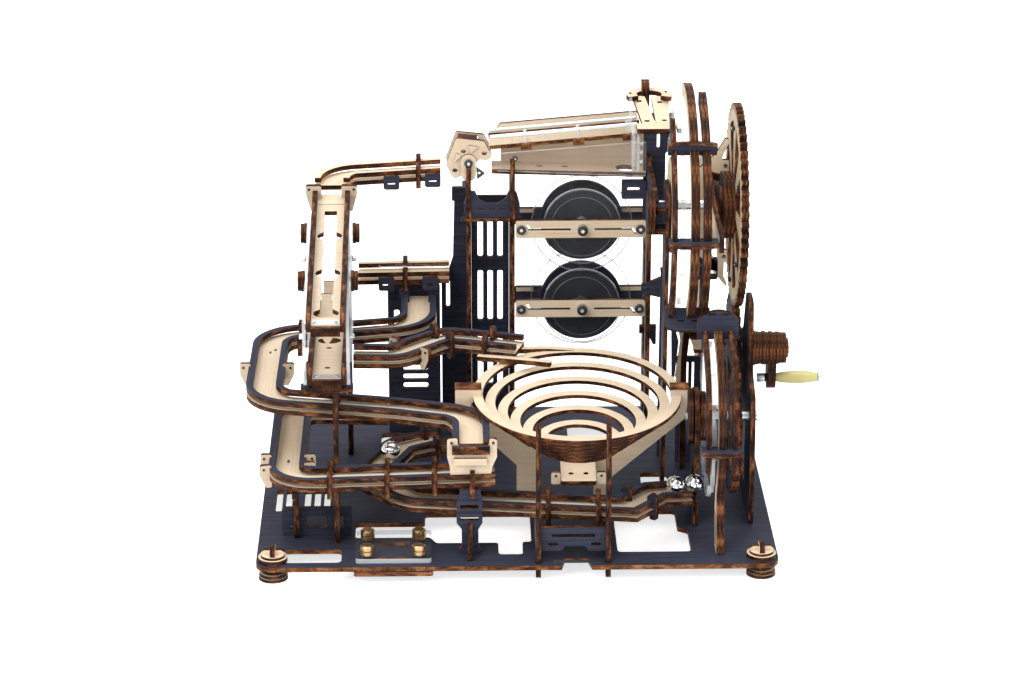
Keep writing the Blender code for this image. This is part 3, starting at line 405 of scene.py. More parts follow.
def make_materials():
    wood_face("birch_face", (0.80, 0.665, 0.50), (0.76, 0.618, 0.452), (0.70, 0.55, 0.393), 0.62)
    wood_face("navy_face", (0.046, 0.050, 0.080), (0.034, 0.037, 0.060), (0.021, 0.022, 0.038), 0.6)
    wood_face("disc_face", (0.015, 0.017, 0.030), (0.011, 0.013, 0.023), (0.007, 0.008, 0.015), 0.5)
    ply_edge("edge_dark", (0.014, 0.005, 0.004), (0.080, 0.027, 0.011), (0.34, 0.130, 0.048), 0.55)
    ply_edge("edge_warm", (0.050, 0.017, 0.008), (0.20, 0.073, 0.025), (0.46, 0.20, 0.075), 0.55)
    brushed("steel_brushed", (0.62, 0.64, 0.66), 0.38)
    plain("steel_polished", (0.80, 0.81, 0.83), 0.06, 1.0, 0.02, 40.0)
    plain("brass_turned", (0.50, 0.34, 0.17), 0.32, 1.0, 0.1, 300.0)
    plain("black_screw", (0.018, 0.018, 0.020), 0.33, 0.0, 0.2, 500.0)
    plain("yellow_grip", (0.64, 0.57, 0.22), 0.28, 0.0, 0.04, 120.0)
    clear("clear_sheet", (0.93, 0.95, 0.95), 0.012)
    # Pale grey, part opaque colour for the clear clips: a painted sheen that lets the clear acrylic show
    clear("clear_rim", (0.80, 0.83, 0.84), 0.28)
    # Dark grey, half opaque colour for thin rings just inside the clear discs' rims: a painted edge line of
    # glint and shade; it also draws the etched ring
    clear("clear_line", (0.20, 0.22, 0.24), 0.5)
    clear("smoky_sheet", (0.50, 0.42, 0.36), 0.11)
    # Pale, half opaque colour on the cut edges of clear sheets: a painted highlight where the clear edges
    # catch the light
    clear("clear_edge", (0.86, 0.91, 0.92), 0.55)


def piece(name, *shapes, body="frame", replaces=()):
    """One object made of shapes, on a body, standing for the named CAD nodes."""
    mesh = bpy.data.meshes.new(name)
    verts, faces, looks, own = [], [], [], []
    for shape in shapes:
        start = len(verts)
        verts += [((x + SHIFT_X) * 0.001, y * 0.001, z * 0.001) for x, y, z in shape.verts]
        own += shape.own
        faces += [tuple(index + start for index in face) for face in shape.faces]
        looks += shape.looks
    mesh.from_pydata(verts, [], faces)
    names = sorted(set(looks))
    for material in names:
        mesh.materials.append(MATERIALS[material])
    mesh.polygons.foreach_set("material_index", [names.index(look) for look in looks])
    places = mesh.attributes.new("sheet", "FLOAT_VECTOR", "POINT")
    places.data.foreach_set("vector", [value * 0.001 for point in own for value in point])
    work = bmesh.new()
    work.from_mesh(mesh)
    bmesh.ops.recalc_face_normals(work, faces=work.faces)
    work.to_mesh(mesh)
    work.free()
    mesh.shade_smooth()
    mesh.set_sharp_from_angle(angle=math.radians(32))
    made = bpy.data.objects.new(name + "_look" if name in frame["nodes"] else name, mesh)
    bpy.context.scene.collection.objects.link(made)
    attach(made, body)
    if replaces:
        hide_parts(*replaces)
    return made


def span(name):
    """A CAD piece's box in millimetres, in the plate's own frame."""
    low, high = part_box(name)
    return ((low.x * 1000.0 - SHIFT_X, low.y * 1000.0, low.z * 1000.0),
            (high.x * 1000.0 - SHIFT_X, high.y * 1000.0, high.z * 1000.0))


SCREW_TALL = 1.9


def bolt(centre, axis, face, radius):
    """A round black screw head with a bright core, standing on a face that looks to minus."""
    tall = -SCREW_TALL
    head = lathe([(face, radius * 0.96), (face + tall * 0.15, radius), (face + tall * 0.8, radius),
                  (face + tall, radius * 0.8)], centre, "black", axis, 28)
    core = lathe([(face + tall * 0.9, radius * 0.42), (face + tall * 1.15, radius * 0.36)],
                 centre, "steel", axis, 6)
    return [head, core]


def nut(centre, low, high, radius):
    """A steel nut with a rounded end, along X; its knurling is not drawn."""
    tall = high - low
    return lathe([(low, radius * 0.9), (low + tall * 0.12, radius), (high - tall * 0.2, radius),
                  (high, radius * 0.72)], centre, "steel", "x", 28)


def sheet_piece(name, outline, plane, holes=(), look="navy"):
    """An upright sheet that fills its CAD piece's box from face to face."""
    low, high = span(name)
    across = {"xz": 1, "yz": 0}[plane]
    piece(name, slab(outline, low[across], high[across], plane, holes, look=look), replaces=(name,))


# Track section
RAIL_W = 4.0
RAIL_PITCH = 9.0
RAIL_LIFT = 2.0
RAIL_INNER = RAIL_PITCH - RAIL_W / 2
FLOOR_HALF = RAIL_PITCH + RAIL_W / 2
TRACK_TALL = 2 * SHEET + RAIL_LIFT
COMB_HALF = FLOOR_HALF + 1.5
COMB_UNDER = 4.5
COMB_OVER = 4.0
STRAP_LONG = 10.0
STRAP_THICK = 2.6


def rounded_path(corners, radius, steps=14):
    """Plan points through the corners, each inner corner eased by an arc."""
    points = [Vector(corners[0])]
    for before, corner, after in zip(corners, corners[1:], corners[2:]):
        corner = Vector(corner)
        inward = (Vector(before) - corner).normalized()
        outward = (Vector(after) - corner).normalized()
        half = inward.angle(outward) / 2
        reach = radius / math.tan(half)
        centre = corner + (inward + outward).normalized() * (radius / math.sin(half))
        begin = corner + inward * reach - centre
        end = corner + outward * reach - centre
        sweep = begin.angle_signed(end)
        for step in range(steps + 1):
            points.append(centre + Matrix.Rotation(-sweep * step / steps, 2) @ begin)
    points.append(Vector(corners[-1]))
    return points


def graded(points, high, low):
    """Plan points with a height that falls evenly along the way."""
    lengths = [0.0]
    for here, there in zip(points, points[1:]):
        lengths.append(lengths[-1] + (there - here).length)
    return [(point.x, point.y, high + (low - high) * length / lengths[-1])
            for point, length in zip(points, lengths)]


def sides(path, index):
    """The vector to the left of a path at one of its points, stretched for a mitre."""
    here = Vector(path[index][:2])
    before = Vector(path[index - 1][:2]) if index else None
    after = Vector(path[index + 1][:2]) if index < len(path) - 1 else None
    legs = [leg.normalized() for leg in
            ((here - before) if before else None, (after - here) if after else None) if leg]
    along = sum(legs, Vector((0.0, 0.0))).normalized()
    return Vector((-along.y, along.x)) / max(0.5, along.dot(legs[0]))


def ribbon(path, inner, outer, under, over, look):
    """A band that follows a path between two sideways and two height offsets."""
    face, edge = LOOKS[look]
    shape = Shape()
    walked = 0.0
    for index, (x, y, z) in enumerate(path):
        if index:
            walked += (Vector(path[index]) - Vector(path[index - 1])).length
        left = sides(path, index)
        for offset, rise in ((inner, under), (outer, under), (outer, over), (inner, over)):
            shape.verts.append((x + left.x * offset, y + left.y * offset, z + rise))
            shape.own.append((walked, offset, rise - under))
    end = len(shape.verts) - 4
    shape.faces = [(0, 1, 2, 3), (end, end + 1, end + 2, end + 3)]
    shape.looks = [edge, edge]
    for ring in range(len(path) - 1):
        for corner in range(4):
            here = ring * 4 + corner
            there = ring * 4 + (corner + 1) % 4
            shape.faces.append((here, there, there + 4, here + 4))
            shape.looks.append(face if corner in (0, 2) else edge)
    return shape


def path_length(path):
    return sum((Vector(there) - Vector(here)).length for here, there in zip(path, path[1:]))


def station(path, distance):
    """The place and heading at a distance along a path."""
    walked = 0.0
    for here, there in zip(path, path[1:]):
        leg = Vector(there) - Vector(here)
        if walked + leg.length >= distance:
            return Vector(here) + leg * ((distance - walked) / leg.length), math.atan2(leg.y, leg.x)
        walked += leg.length
    return Vector(path[-1]), math.atan2(leg.y, leg.x)


def distance_where(path, passed):
    """How far along a path the first point lies that passes a test, or its length."""
    length = path_length(path)
    for step in range(int(length)):
        spot, _ = station(path, step)
        if passed(spot.x, spot.y):
            return float(step)
    return length


def placed(path, distance):
    """The matrix that puts a shape on a path, turned to its heading."""
    spot, heading = station(path, distance)
    return Matrix.Translation(spot) @ Matrix.Rotation(heading, 4, "Z")


def comb(path, distance):
    """A cross sheet that carries the floor and holds both rails."""
    top = TRACK_TALL + COMB_OVER
    floor_top = SHEET - 0.4
    inner = RAIL_INNER - 0.8
    half = COMB_HALF
    foot = half - 4.5
    outline = [(-half, -COMB_UNDER), (-foot, -COMB_UNDER), (-foot, -0.6), (foot, -0.6),
               (foot, -COMB_UNDER), (half, -COMB_UNDER), (half, top - 2.0), (half - 2.2, top),
               (inner + 2.0, top), (inner, top - 2.0), (inner, floor_top), (-inner, floor_top),
               (-inner, top - 2.0), (-inner - 2.0, top), (-half + 2.2, top), (-half, top - 2.0)]
    shape = slab(eased(outline, 1.2, 3), -SHEET / 2, SHEET / 2, "yz", look="navy")
    return shape.moved(placed(path, distance))


def clip(path, distance):
    """Two small upright plates that tie two lengths of track, one outside each rail."""
    shapes = []
    for hand in (-1, 1):
        near = hand * (RAIL_INNER + RAIL_W - 1.2)
        far = hand * (FLOOR_HALF + 5.6)
        plate = eased([(near, SHEET + 0.3), (near, TRACK_TALL + 1.6), (far, TRACK_TALL + 1.6),
                       (far, 2.4), (near + hand * 3.4, -4.6), (near, -4.6)], 1.3)
        shapes.append(slab(plate, -SHEET / 2, SHEET / 2, "yz", look="birch_dark"))
        shapes.append(rod("x", (far - hand * 2.2, TRACK_TALL - 1.0), 0.8, -SHEET / 2 - 0.5,
                          SHEET / 2 + 0.5, "black", 12))
    return [shape.moved(placed(path, distance)) for shape in shapes]


def strap(path, distance):
    """A small upright plate that hangs outside the left rail, with a slot."""
    near = FLOOR_HALF + 0.3
    plate = rect(-STRAP_LONG / 2, -3.4, STRAP_LONG / 2, SHEET + 2.6, 1.6, 4)
    hole = rect(-STRAP_LONG / 4, -0.6, STRAP_LONG / 4, 1.2, 0.8, 4)
    shape = slab(plate, near, near + STRAP_THICK, "xz", [hole], look="navy")
    return shape.moved(placed(path, distance))


def slot_mark(path, distance, long, wide, offset=0.0):
    """A narrow slot in a track's floor, drawn as a black patch: its burnt walls and the painted shade
    inside it.
    """
    outline = rect(-long / 2, offset - wide / 2, long / 2, offset + wide / 2, wide * 0.45, 4)
    shape = slab(outline, SHEET - 0.2, SHEET + 0.08, look="black")
    return shape.moved(placed(path, distance))


def track(name, path, combs, rails="navy", extra=()):
    """Floor, two rails and their combs."""
    rail_low = SHEET + RAIL_LIFT
    shapes = [ribbon(path, -FLOOR_HALF, FLOOR_HALF, 0.0, SHEET, "birch_dark")]
    shapes += [comb(path, distance) for distance in combs]
    shapes.append(ribbon(path, RAIL_INNER, RAIL_INNER + RAIL_W, rail_low, TRACK_TALL, rails))
    shapes.append(ribbon(path, -RAIL_INNER - RAIL_W, -RAIL_INNER, rail_low, TRACK_TALL, rails))
    piece(name, *shapes, *extra, replaces=(name,))


CENTRE_RIB_X = (10.8, 52.2)


def make_base():
    low, high = span("base_plate")
    left, front, right, back = low[0], low[1], high[0], high[1]
    corners = rect(left, front, right, back, 9.0, 8)
    split = 27
    outline = corners[:split] + [(26.0, front), (28.0, front + 10.0), (42.0, front + 10.0),
                                 (44.0, front)] + corners[split:]
    holes = [rect(left + x, -43.0, left + x + 4.0, -10.0, 1.2) for x in (8.0, 14.0, 25.5, 31.5, 37.5)]
    holes += [rect(x - 0.3, front + 2.7, x + SHEET + 0.3, front + 9.3) for x in CENTRE_RIB_X]
    middle = [(-97.0, -84.5), (-52.0, -84.5), (-48.0, -93.0), (-11.0, -93.0), (-11.0, -110.0),
              (3.5, -110.0), (3.5, -92.0), (9.0, -92.0), (9.0, -48.0), (-55.0, -48.0),
              (-55.0, -62.0), (-97.0, -62.0)]
    side = [(60.0, -108.0), (104.0, -108.0), (104.0, -76.0), (98.0, -72.0), (98.0, -46.0),
            (60.0, -46.0)]
    holes += [eased(middle, 2.4), eased(side, 3.0),
              rect(left + 16.5, front + 7.0, left + 50.5, front + 26.0, 3.0),
              rect(-83.5, 58.5, -49.6, 82.5, 3.0), rect(37.0, 58.0, 65.0, 98.0, 3.0),
              rect(80.0, -10.0, 97.0, 13.0, 2.0)]
    plate = slab(outline, BASE_Z, BASE_TOP, holes=holes, look="base")
    lip = slab(rect(left + 58.0, front - 1.2, left + 105.0, front + 6.0, 2.0), BASE_Z - 2.6,
               BASE_Z - 0.05, look="base")
    mark = slab(rect(21.0, front + 4.0, 21.0 + 24.0, front + 7.5, 1.5), BASE_TOP - 0.2,
                BASE_TOP + 0.06, look="black")
    piece("base_plate", plate, lip, mark, replaces=("base_plate",))


def make_feet():
    for name in ("foot_front_left", "foot_front_right", "foot_rear_left", "foot_rear_right"):
        low, high = span(name)
        centre = ((low[0] + high[0]) / 2, (low[1] + high[1]) / 2)
        radius = (high[0] - low[0]) / 2
        shapes = [rod("z", centre, radius, low[2], 2.1, "birch_dark", 40),
                  rod("z", centre, radius - 0.5, 2.2, 4.3, "birch_dark", 40),
                  rod("z", centre, radius - 2.2, 4.2, BASE_Z, "navy", 32),
                  rod("z", centre, radius, BASE_TOP, BASE_TOP + 2.9, "birch_dark", 40),
                  rod("z", centre, radius - 1.6, BASE_TOP + 2.8, BASE_TOP + 4.5, "birch_dark", 40)]
        top = BASE_TOP + 4.4
        across = [(-7.0, top), (7.0, top), (7.0, top + 1.6), (5.0, top + SHEET), (-5.0, top + SHEET),
                  (-7.0, top + 1.6)]
        along = [(-6.0, top), (6.0, top), (6.0, top + 3.0), (3.0, top + 5.0), (-3.0, top + 5.0),
                 (-6.0, top + 3.0)]
        tab = slab(eased([(centre[0] + u, v) for u, v in across], 0.8), centre[1] - 1.5,
                   centre[1] + 1.5, "xz", look="birch_dark")
        tongue = slab(eased([(centre[1] + u, v) for u, v in along], 0.8), centre[0] - 1.5,
                      centre[0] + 1.5, "yz", look="birch_dark")
        piece(name, *shapes, tab, tongue, replaces=(name,))


def make_name_plate():
    low, high = span("name_plate")
    plate = slab(rect(low[0], low[1], high[0], high[1], 2.5), low[2] + 0.05, high[2], look="clear")
    piece("name_plate", plate, replaces=("name_plate",))
    nuts = []
    for x in (low[0] + 6.8, high[0] - 7.5):
        for y in (low[1] + 6.0, high[1] - 13.0):
            top = high[2]
            nuts.append(lathe([(top, 3.6), (top + 0.8, 4.2), (top + 3.0, 4.2), (top + 3.4, 3.5),
                               (top + 3.8, 4.2), (top + 5.6, 4.2), (top + 6.5, 3.2)],
                              (x, y), "brass", "z", 32))
    piece("name_plate_nuts", *nuts)
    bars = [slab(rect(low[0] + 11.5, y, high[0] - 13.0, y + 5.0, 2.2), BASE_TOP - 0.2,
                 BASE_TOP + 0.02, look="amber") for y in (low[1] + 4.5, high[1] - 16.0)]
    piece("name_plate_bars", *bars)


def make_left_supports():
    z = BASE_TOP
    wall = eased([(-141.0, z), (-99.0, z), (-99.0, z + 18.0), (-141.0, z + 18.0)], 2.0)
    window = rect(-126.0, z + 5.0, -114.0, z + 13.0, 1.5)
    outer = [(-78.5, z), (-78.5, 40.0), (-88.0, 49.0), (-104.0, 49.0), (-104.0, 45.0),
             (-92.0, 41.0), (-86.0, 34.0), (-85.0, z)]
    slots = [rect(-137.0, z + 4.0, -131.0, z + 6.5, 0.8), rect(-110.0, z + 5.0, -104.0, z + 12.0, 0.8)]
    piece("left_support", slab(wall, -80.0, -77.0, "xz", [window] + slots, look="navy"),
          slab(eased(outer, 2.0), -133.5, -130.5, "yz", look="navy"), replaces=("left_support",))


def make_front_column():
    z = BASE_TOP
    low, high = span("front_column")
    face = [(-34.6, z), (-21.4, z), (-21.4, z + 2.5), (-23.0, z + 5.0), (-23.0, z + 16.0),
            (-20.6, z + 20.0), (-20.6, z + 34.0), (-21.6, z + 38.0), (-21.6, z + 41.5), (-34.2, z + 41.5),
            (-34.2, z + 38.0), (-36.0, z + 34.0), (-36.0, z + 20.0), (-33.0, z + 16.0), (-33.0, z + 5.0),
            (-34.6, z + 2.5)]
    slots = [rect(-33.8, z + 29.0, -22.8, z + 31.6, 0.8), rect(-33.8, z + 21.6, -22.8, z + 24.2, 0.8)]
    rib = [(low[1], z), (high[1], z), (-104.0, z + 20.0), (-111.0, z + 20.0), (-116.0, z + 14.0)]
    piece("front_column", slab(eased(face, 1.4), -109.0, -106.0, "xz", slots, look="navy"),
          slab(eased(rib, 2.0), -29.5, -26.5, "yz", look="navy"), replaces=("front_column",))


def centre_rib_outline(foot_z, top_z):
    """A rib that stands in the base and holds the front track and the funnel."""
    front = span("base_plate")[0][1]
    low, high = front + 3.0, front + 9.0
    tip = span("funnel_rings")[0][1] - 0.3
    return [(low, foot_z), (high, foot_z), (high, BASE_TOP), (-88.0, BASE_TOP),
            (-84.0, BASE_TOP + 8.0), (-84.0, top_z), (-110.6, top_z), (-114.0, top_z + 4.0),
            (-114.0, 60.0), (tip, 72.0), (tip, 96.0), (-116.5, 97.0), (-119.0, 84.0),
            (-122.0, 60.0), (low + 2.0, 34.0), (low, 24.0)]


LOWER_LEFT = graded(rounded_path([(-13.0, -96.0), (-137.0, -96.0), (-137.0, 22.0),
                                  (-78.0, 22.0)], 16.0), 53.5, 45.5)
LOOP_LEFT = span("loop_track")[0][0] + FLOOR_HALF
LOOP = graded(rounded_path([(-58.5, 84.2), (-58.5, 33.0), (LOOP_LEFT + 2.0, 33.0), (LOOP_LEFT, -57.0),
                            (-70.0, -60.0), (-27.0, -66.0), (-27.0, -104.0)], 17.0), 102.0, 74.0)
FEED = graded(rounded_path([(-98.0, -16.5), (-72.0, -16.5), (-42.0, 15.0), (-20.0, 10.0),
                            (4.0, 3.0)], 10.0), 98.5, 96.6)
FRONT_BEND = rounded_path([(-44.0, -14.0), (-70.0, -26.0), (-88.0, -66.0), (-62.0, -94.0),
                           (66.0, -97.0)], 12.0, 5)
FRONT_END = [Vector(point) for point in ((84.0, -72.0), (104.0, -66.6))]
LOWER_FRONT = graded(FRONT_BEND + FRONT_END, 42.0, 27.5)
UPPER_LEFT = graded(rounded_path([(-44.0, 86.0), (-112.0, 86.0), (-112.0, 70.5)], 15.3), 185.5, 181.0)
MIDDLE = graded([Vector((-39.0, 86.0)), Vector((-97.0, 86.0))], 116.8, 116.0)


def make_tracks():
    track("lower_left_track", LOWER_LEFT, (36.0, 64.0, 98.0), extra=(
        *clip(LOWER_LEFT, 130.0), *clip(LOWER_LEFT, 146.0),
        slot_mark(LOWER_LEFT, 150.0, 5.0, 1.6)))
    bracket = eased([(-41.3, 72.0), (-41.3, 83.5), (-35.2, 84.3), (-34.9, 79.5), (-16.6, 79.5),
                     (-16.2, 84.0), (-11.9, 83.0), (-11.9, 72.0), (-14.5, 66.0), (-15.5, 60.0),
                     (-39.5, 60.4), (-39.8, 66.0)], 1.4)
    near_rib = distance_where(LOOP, lambda x, y: x > -107.5 and y < -40.0)
    bar = slab(rect(-37.3, 67.4, -17.8, 71.6), -107.6, -106.1, "xz", look="birch_dark")
    stop = block((-38.4, -108.4, 74.4), (-16.1, -106.1, 79.6), "navy")
    dots = [rod("y", (x, 81.0), 0.9, -106.5, -105.9, "black", 12) for x in (-38.6, -14.1)]
    pin = block((-28.0, -111.0, 47.5), (-25.0, -108.6, 65.0), "navy")
    track("loop_track", LOOP, (8.0, near_rib), extra=(
        slab(bracket, -106.0, -103.0, "xz", look="birch_dark"), bar, stop, pin, *dots,
        *clip(LOOP, 118.0), *clip(LOOP, 178.0),
        slot_mark(LOOP, 148.0, 4.0, 1.5), slot_mark(LOOP, 144.0, 4.0, 1.5, 3.0)))
    track("funnel_feed_track", FEED, (66.0, 96.0), extra=tuple(clip(FEED, 38.0)))
    lead = [(2.5, 8.2, 97.6), (20.0, 11.4, 96.6), (38.0, 11.8, 95.2)]
    rest = [(-22.0, -4.4, 97.8), (0.0, -9.6, 97.8), (22.8, -15.2, 97.4)]
    piece("funnel_feed_strips", *(ribbon(path, -2.4, 2.4, -SHEET, 0.0, "birch_dark")
                                  for path in (lead, rest)))
    ribs = [distance_where(LOWER_FRONT, lambda x, y: x > low and y < -80.0) for low in CENTRE_RIB_X]
    track("lower_front_track", LOWER_FRONT, (8.0, ribs[0] + 8.0, ribs[1] - 4.0, 250.0))
    track("upper_left_track", UPPER_LEFT, (14.0,), "birch_dark", extra=(
        strap(UPPER_LEFT, 31.0), strap(UPPER_LEFT, 5.0)))
    # The hole in the middle track's floor is a black patch of painted shade, not a cut
    floor_hole = ellipse((-67.0, 86.0), 6.0, 4.5)
    track("middle_track", MIDDLE, (28.0,), "birch_dark", extra=(
        slab(floor_hole, 119.2, 119.6, look="black"), strap(MIDDLE, 12.0), strap(MIDDLE, 40.0)))


def upright_slots(columns, rows, width):
    """Upright slots in a panel, given their left edges and their heights."""
    return [rect(x, low, x + width, high, width * 0.3) for x in columns for low, high in rows]


SWITCH = JOINTS["switch_tilt"]["pos_m"]
SWITCH_PIVOT = (SWITCH[0] * 1000.0 - SHIFT_X, SWITCH[2] * 1000.0)
POST_A_X = -28.0
POST_B_X = -0.5
POST_FRONT = 66.0
POST_BACK = 98.5


def make_tower():
    z = BASE_TOP
    gaps = [rect(POST_FRONT + 8.0, low, POST_BACK - 14.0, low + 36.0, 2.0) for low in (40.0, 90.0, 140.0)]
    post_top = SWITCH_PIVOT[1] - 12.4
    posts = rect(POST_FRONT, z, POST_BACK, post_top, 1.5)
    tongue = rect(72.5, post_top - 0.6, 78.5, SWITCH_PIVOT[1] + 3.0, 1.5)
    strip = rect(62.6, 160.0, 65.8, SWITCH_PIVOT[1] - 2.6, 1.0)
    right = [(POST_FRONT, z), (POST_BACK, z), (POST_BACK, 191.3), (63.7, 191.3),
             (63.7, 203.0), (60.5, 203.0), (60.5, 164.0), (POST_FRONT, 158.0)]
    frame_shapes = [slab(posts, POST_A_X, POST_A_X + SHEET, "yz", gaps, look="navy"),
                    slab(tongue, POST_A_X, POST_A_X + SHEET, "yz", look="navy"),
                    slab(strip, POST_A_X, POST_A_X + SHEET, "yz", look="navy"),
                    slab(eased(right, 1.2), POST_B_X, POST_B_X + SHEET, "yz", gaps, look="navy")]
    yoke = [(-29.5, 164.4), (5.6, 164.4), (5.6, 173.0), (3.4, 181.0), (-1.4, 181.6), (-3.6, 176.0),
            (-8.0, 173.6), (-16.0, 173.6), (-20.4, 176.0), (-22.6, 181.6), (-27.0, 181.0), (-29.5, 173.0)]
    cuts = [rect(x, 169.6, x + 4.0, 170.6, 0.4) for x in (-21.0, -14.0, -7.0)]
    frame_shapes.append(slab(rect(-31.5, 62.4, 6.6, 66.2, 1.4), 162.0, 164.3, look="navy"))
    frame_shapes.append(slab(eased(yoke, 1.8), POST_FRONT - 2.5, POST_FRONT + 0.5, "xz", cuts,
                             look="navy"))
    x, level = SWITCH_PIVOT
    arm = rect(x - 4.7, level - 11.8, x + 4.7, level + 5.5, 4.4, 8)
    frame_shapes.append(slab(arm, 64.6, 66.4, "xz", look="birch_dark"))
    frame_shapes.append(rod("y", SWITCH_PIVOT, 2.4, 64.6, 88.0, "steel"))
    frame_shapes += bolt(SWITCH_PIVOT, "y", 64.6, 2.6)
    frame_shapes.append(block((x - 4.1, 63.4, level - 15.9), (x - 0.7, 66.4, level - 11.9), "black"))
    piece("tower_frame", *frame_shapes, replaces=("tower_frame",))
    low, high = span("tower_panel")
    rows = ((129.0, 157.0), (86.0, 120.0), (42.0, 76.0))
    columns = [low[0] + 3.9 + 6.3 * index for index in range(3)]
    outline = rect(low[0], low[2], high[0], high[2], 1.0)
    sheet_piece("tower_panel", outline, "xz", upright_slots(columns, rows, 3.5))
    edge = span("side_panel")[1][0]
    side = [(edge, z), (edge, 173.0), (-37.0, 173.0), (-37.0, 164.0), (-35.5, 164.0),
            (-36.5, 126.0), (-41.0, 112.0), (-44.0, 112.0), (-44.0, z)]
    slots = [rect(-41.0, 92.0, -38.6, 110.0, 0.8), rect(-40.0, 60.0, -37.5, 76.0, 0.8)]
    sheet_piece("side_panel", eased(side, 1.2), "xz", slots)
    low, high = span("rear_left_panel")
    cuts = upright_slots((-74.5, -51.0), ((75.0, 95.5),), 3.5)
    cuts += [rect(-69.0, level, -53.0, level + 4.0, 1.2) for level in (41.5, 47.5, 53.5)]
    cuts.append(rect(-64.0, 64.0, -57.0, 104.0, 1.5))
    sheet_piece("rear_left_panel", rect(low[0], low[2], high[0], high[2], 1.5), "xz", cuts)


def make_window():
    low, high = span("clear_window")
    outline = rect(low[0], low[2], high[0], high[2], 1.5)
    sheet_piece("clear_window", outline, "xz", look="clear")


def wave_slot(half, low, high, swells, reach):
    """A long slot with oval widenings along it."""
    right, left = [], []
    steps = 120
    for step in range(steps + 1):
        along = low + (high - low) * step / steps
        wide = half
        for swell in swells:
            away = (along - swell) / reach
            if abs(away) < 1.0:
                wide = max(wide, 7.6 * math.sqrt(1.0 - away * away))
        right.append((wide, along))
        left.append((-wide, along))
    return right + left[::-1]


ZIGZAG_X = -112.3


def channel(name, front, back, slot, rounds, walls, extra):
    """A zigzag channel with a floor, two side walls and a low front lip; the side walls are drawn single,
    not double.
    """
    half = 11.6
    run = math.hypot(back[0] - front[0], back[1] - front[1])
    tilt = math.atan2(back[1] - front[1], back[0] - front[0])
    matrix = Matrix.Translation((ZIGZAG_X, front[0], front[1])) @ Matrix.Rotation(tilt, 4, "X")
    inner = half - SHEET
    floor = slab(rect(-inner - 0.4, 0.5, inner + 0.4, run - 0.5), 0.0, SHEET, holes=slot + rounds,
                 look="birch_dark")
    wall = rect(0.0, -2.0, run, walls, 2.0)
    left = slab(wall, -half, -inner, "yz", look="navy")
    right = slab(wall, inner, half, "yz", look="navy")
    shapes = [floor, left, right]
    lips = [slab(rect(-inner, low, inner, low + 2.9), -2.0, 0.4, "xz", look="amber")
            for low in (-2.9, 0.05)]
    strip = slab([(-inner, 1.0), (inner, 1.0), (inner, 7.5), (4.0, 6.2), (-4.0, 6.2), (-inner, 7.5)],
                 SHEET, SHEET + 0.6, look="steel")
    rivets = [rod("z", (side * 6.2, 3.4), 1.0, SHEET + 0.5, SHEET + 1.1, "steel", 14) for side in (-1, 1)]
    cores = [rod("z", (side * 6.2, 3.4), 0.5, SHEET + 1.1, SHEET + 1.2, "black", 10) for side in (-1, 1)]
    shapes += [*lips, strip] + rivets + cores + extra(run, inner)
    piece(name, *(shape.moved(matrix) for shape in shapes), replaces=(name,))


def make_zigzag():
    def upper_parts(run, inner):
        seam = [block((-inner, run - 13.4, SHEET), (inner, run - 13.0, SHEET + 0.08), "black")]
        ties = []
        for side in (-1.0, 1.0):
            face = [(side * (inner - 2.4), 1.0), (side * (inner - 2.4), 12.0), (side * (inner + 7.4), 12.0),
                    (side * (inner + 7.4), 6.0), (side * (inner + 4.4), -6.0), (side * (inner + 1.6), -6.0)]
            ties.append(slab(eased(face, 1.6), run - 6.0, run - 3.0, "xz", look="birch_dark"))
            ties.append(rod("y", (side * (inner + 5.4), 9.8), 0.8, run - 6.6, run - 5.9, "black", 12))
        return seam + ties

    def lower_parts(run, inner):
        base = eased([(-inner - 7.0, 3.0), (-inner - 3.0, 0.0), (inner + 3.0, 0.0), (inner + 7.0, 3.0),
                      (inner + 7.0, 9.0), (-inner - 7.0, 9.0)], 1.5)
        return [slab(base, -6.2, -3.1, look="navy")]

    slot = [wave_slot(3.8, 10.0, 134.0, (14.5, 60.0, 104.0), 5.0)]
    channel("zigzag_upper", (-84.0, 144.0), (68.0, 176.4), slot, [], 9.0, upper_parts)
    rounds = [ellipse((0.0, 62.0), 7.0, 5.0), ellipse((0.0, 50.0), 1.8, 1.3),
              ellipse((0.0, 18.0), 1.8, 1.3)]
    channel("zigzag_lower", (-84.0, 110.5), (48.0, 113.0), [], rounds, 8.0, lower_parts)
    outline = eased([(-82.0, 108.0), (-30.0, 108.0), (4.0, 116.0), (4.0, 162.0), (-12.0, 162.0),
                     (-82.0, 148.0)], 3.0)
    for side, name in ((-1, "zigzag_window_left"), (1, "zigzag_window_right")):
        low, high = span(name)
        face = low[0] if side < 0 else high[0]
        sheet_piece(name, outline, "yz", look="clear")
        knobs = []
        for y, z in ((26.0, 167.4), (-29.0, 155.7)):
            knobs.append(rod("x", (y, z), 6.4, *sorted((face, face + side * 2.0)), "navy", 32))
            knobs.append(rod("x", (y, z), 6.0, *sorted((face + side * 2.2, face + side * 4.2)), "navy", 32))
        for y, z in ((-2.0, 160.5), (-64.0, 133.0)):
            knobs.append(nut((y, z), *sorted((face, face + side * 2.6)), 1.8))
        piece(name + "_knobs", *knobs)
        above = eased([(-8.0, 150.0), (24.0, 156.0), (37.0, 166.0), (37.0, 177.0), (12.0, 174.0),
                       (-8.0, 164.0)], 2.0)
        piece(name + "_top", slab(above, low[0], high[0], "yz", look="clear"))


def make_zigzag_tongue():
    """The pointed tongue that hangs in the upper channel's slot."""
    outline = [(-3.2, 0.0), (3.2, 0.0), (3.2, -28.0), (0.0, -33.0), (-3.2, -28.0)]
    shape = slab([(ZIGZAG_X + u, 157.0 + v) for u, v in outline], -56.0, -54.4, "xz", look="birch_dark")
    shelf = slab(rect(-115.5, 141.0, -109.1, 150.0, 0.8), -14.0, -12.4, "xz", look="birch_dark")
    piece("zigzag_tongue", shape, shelf)


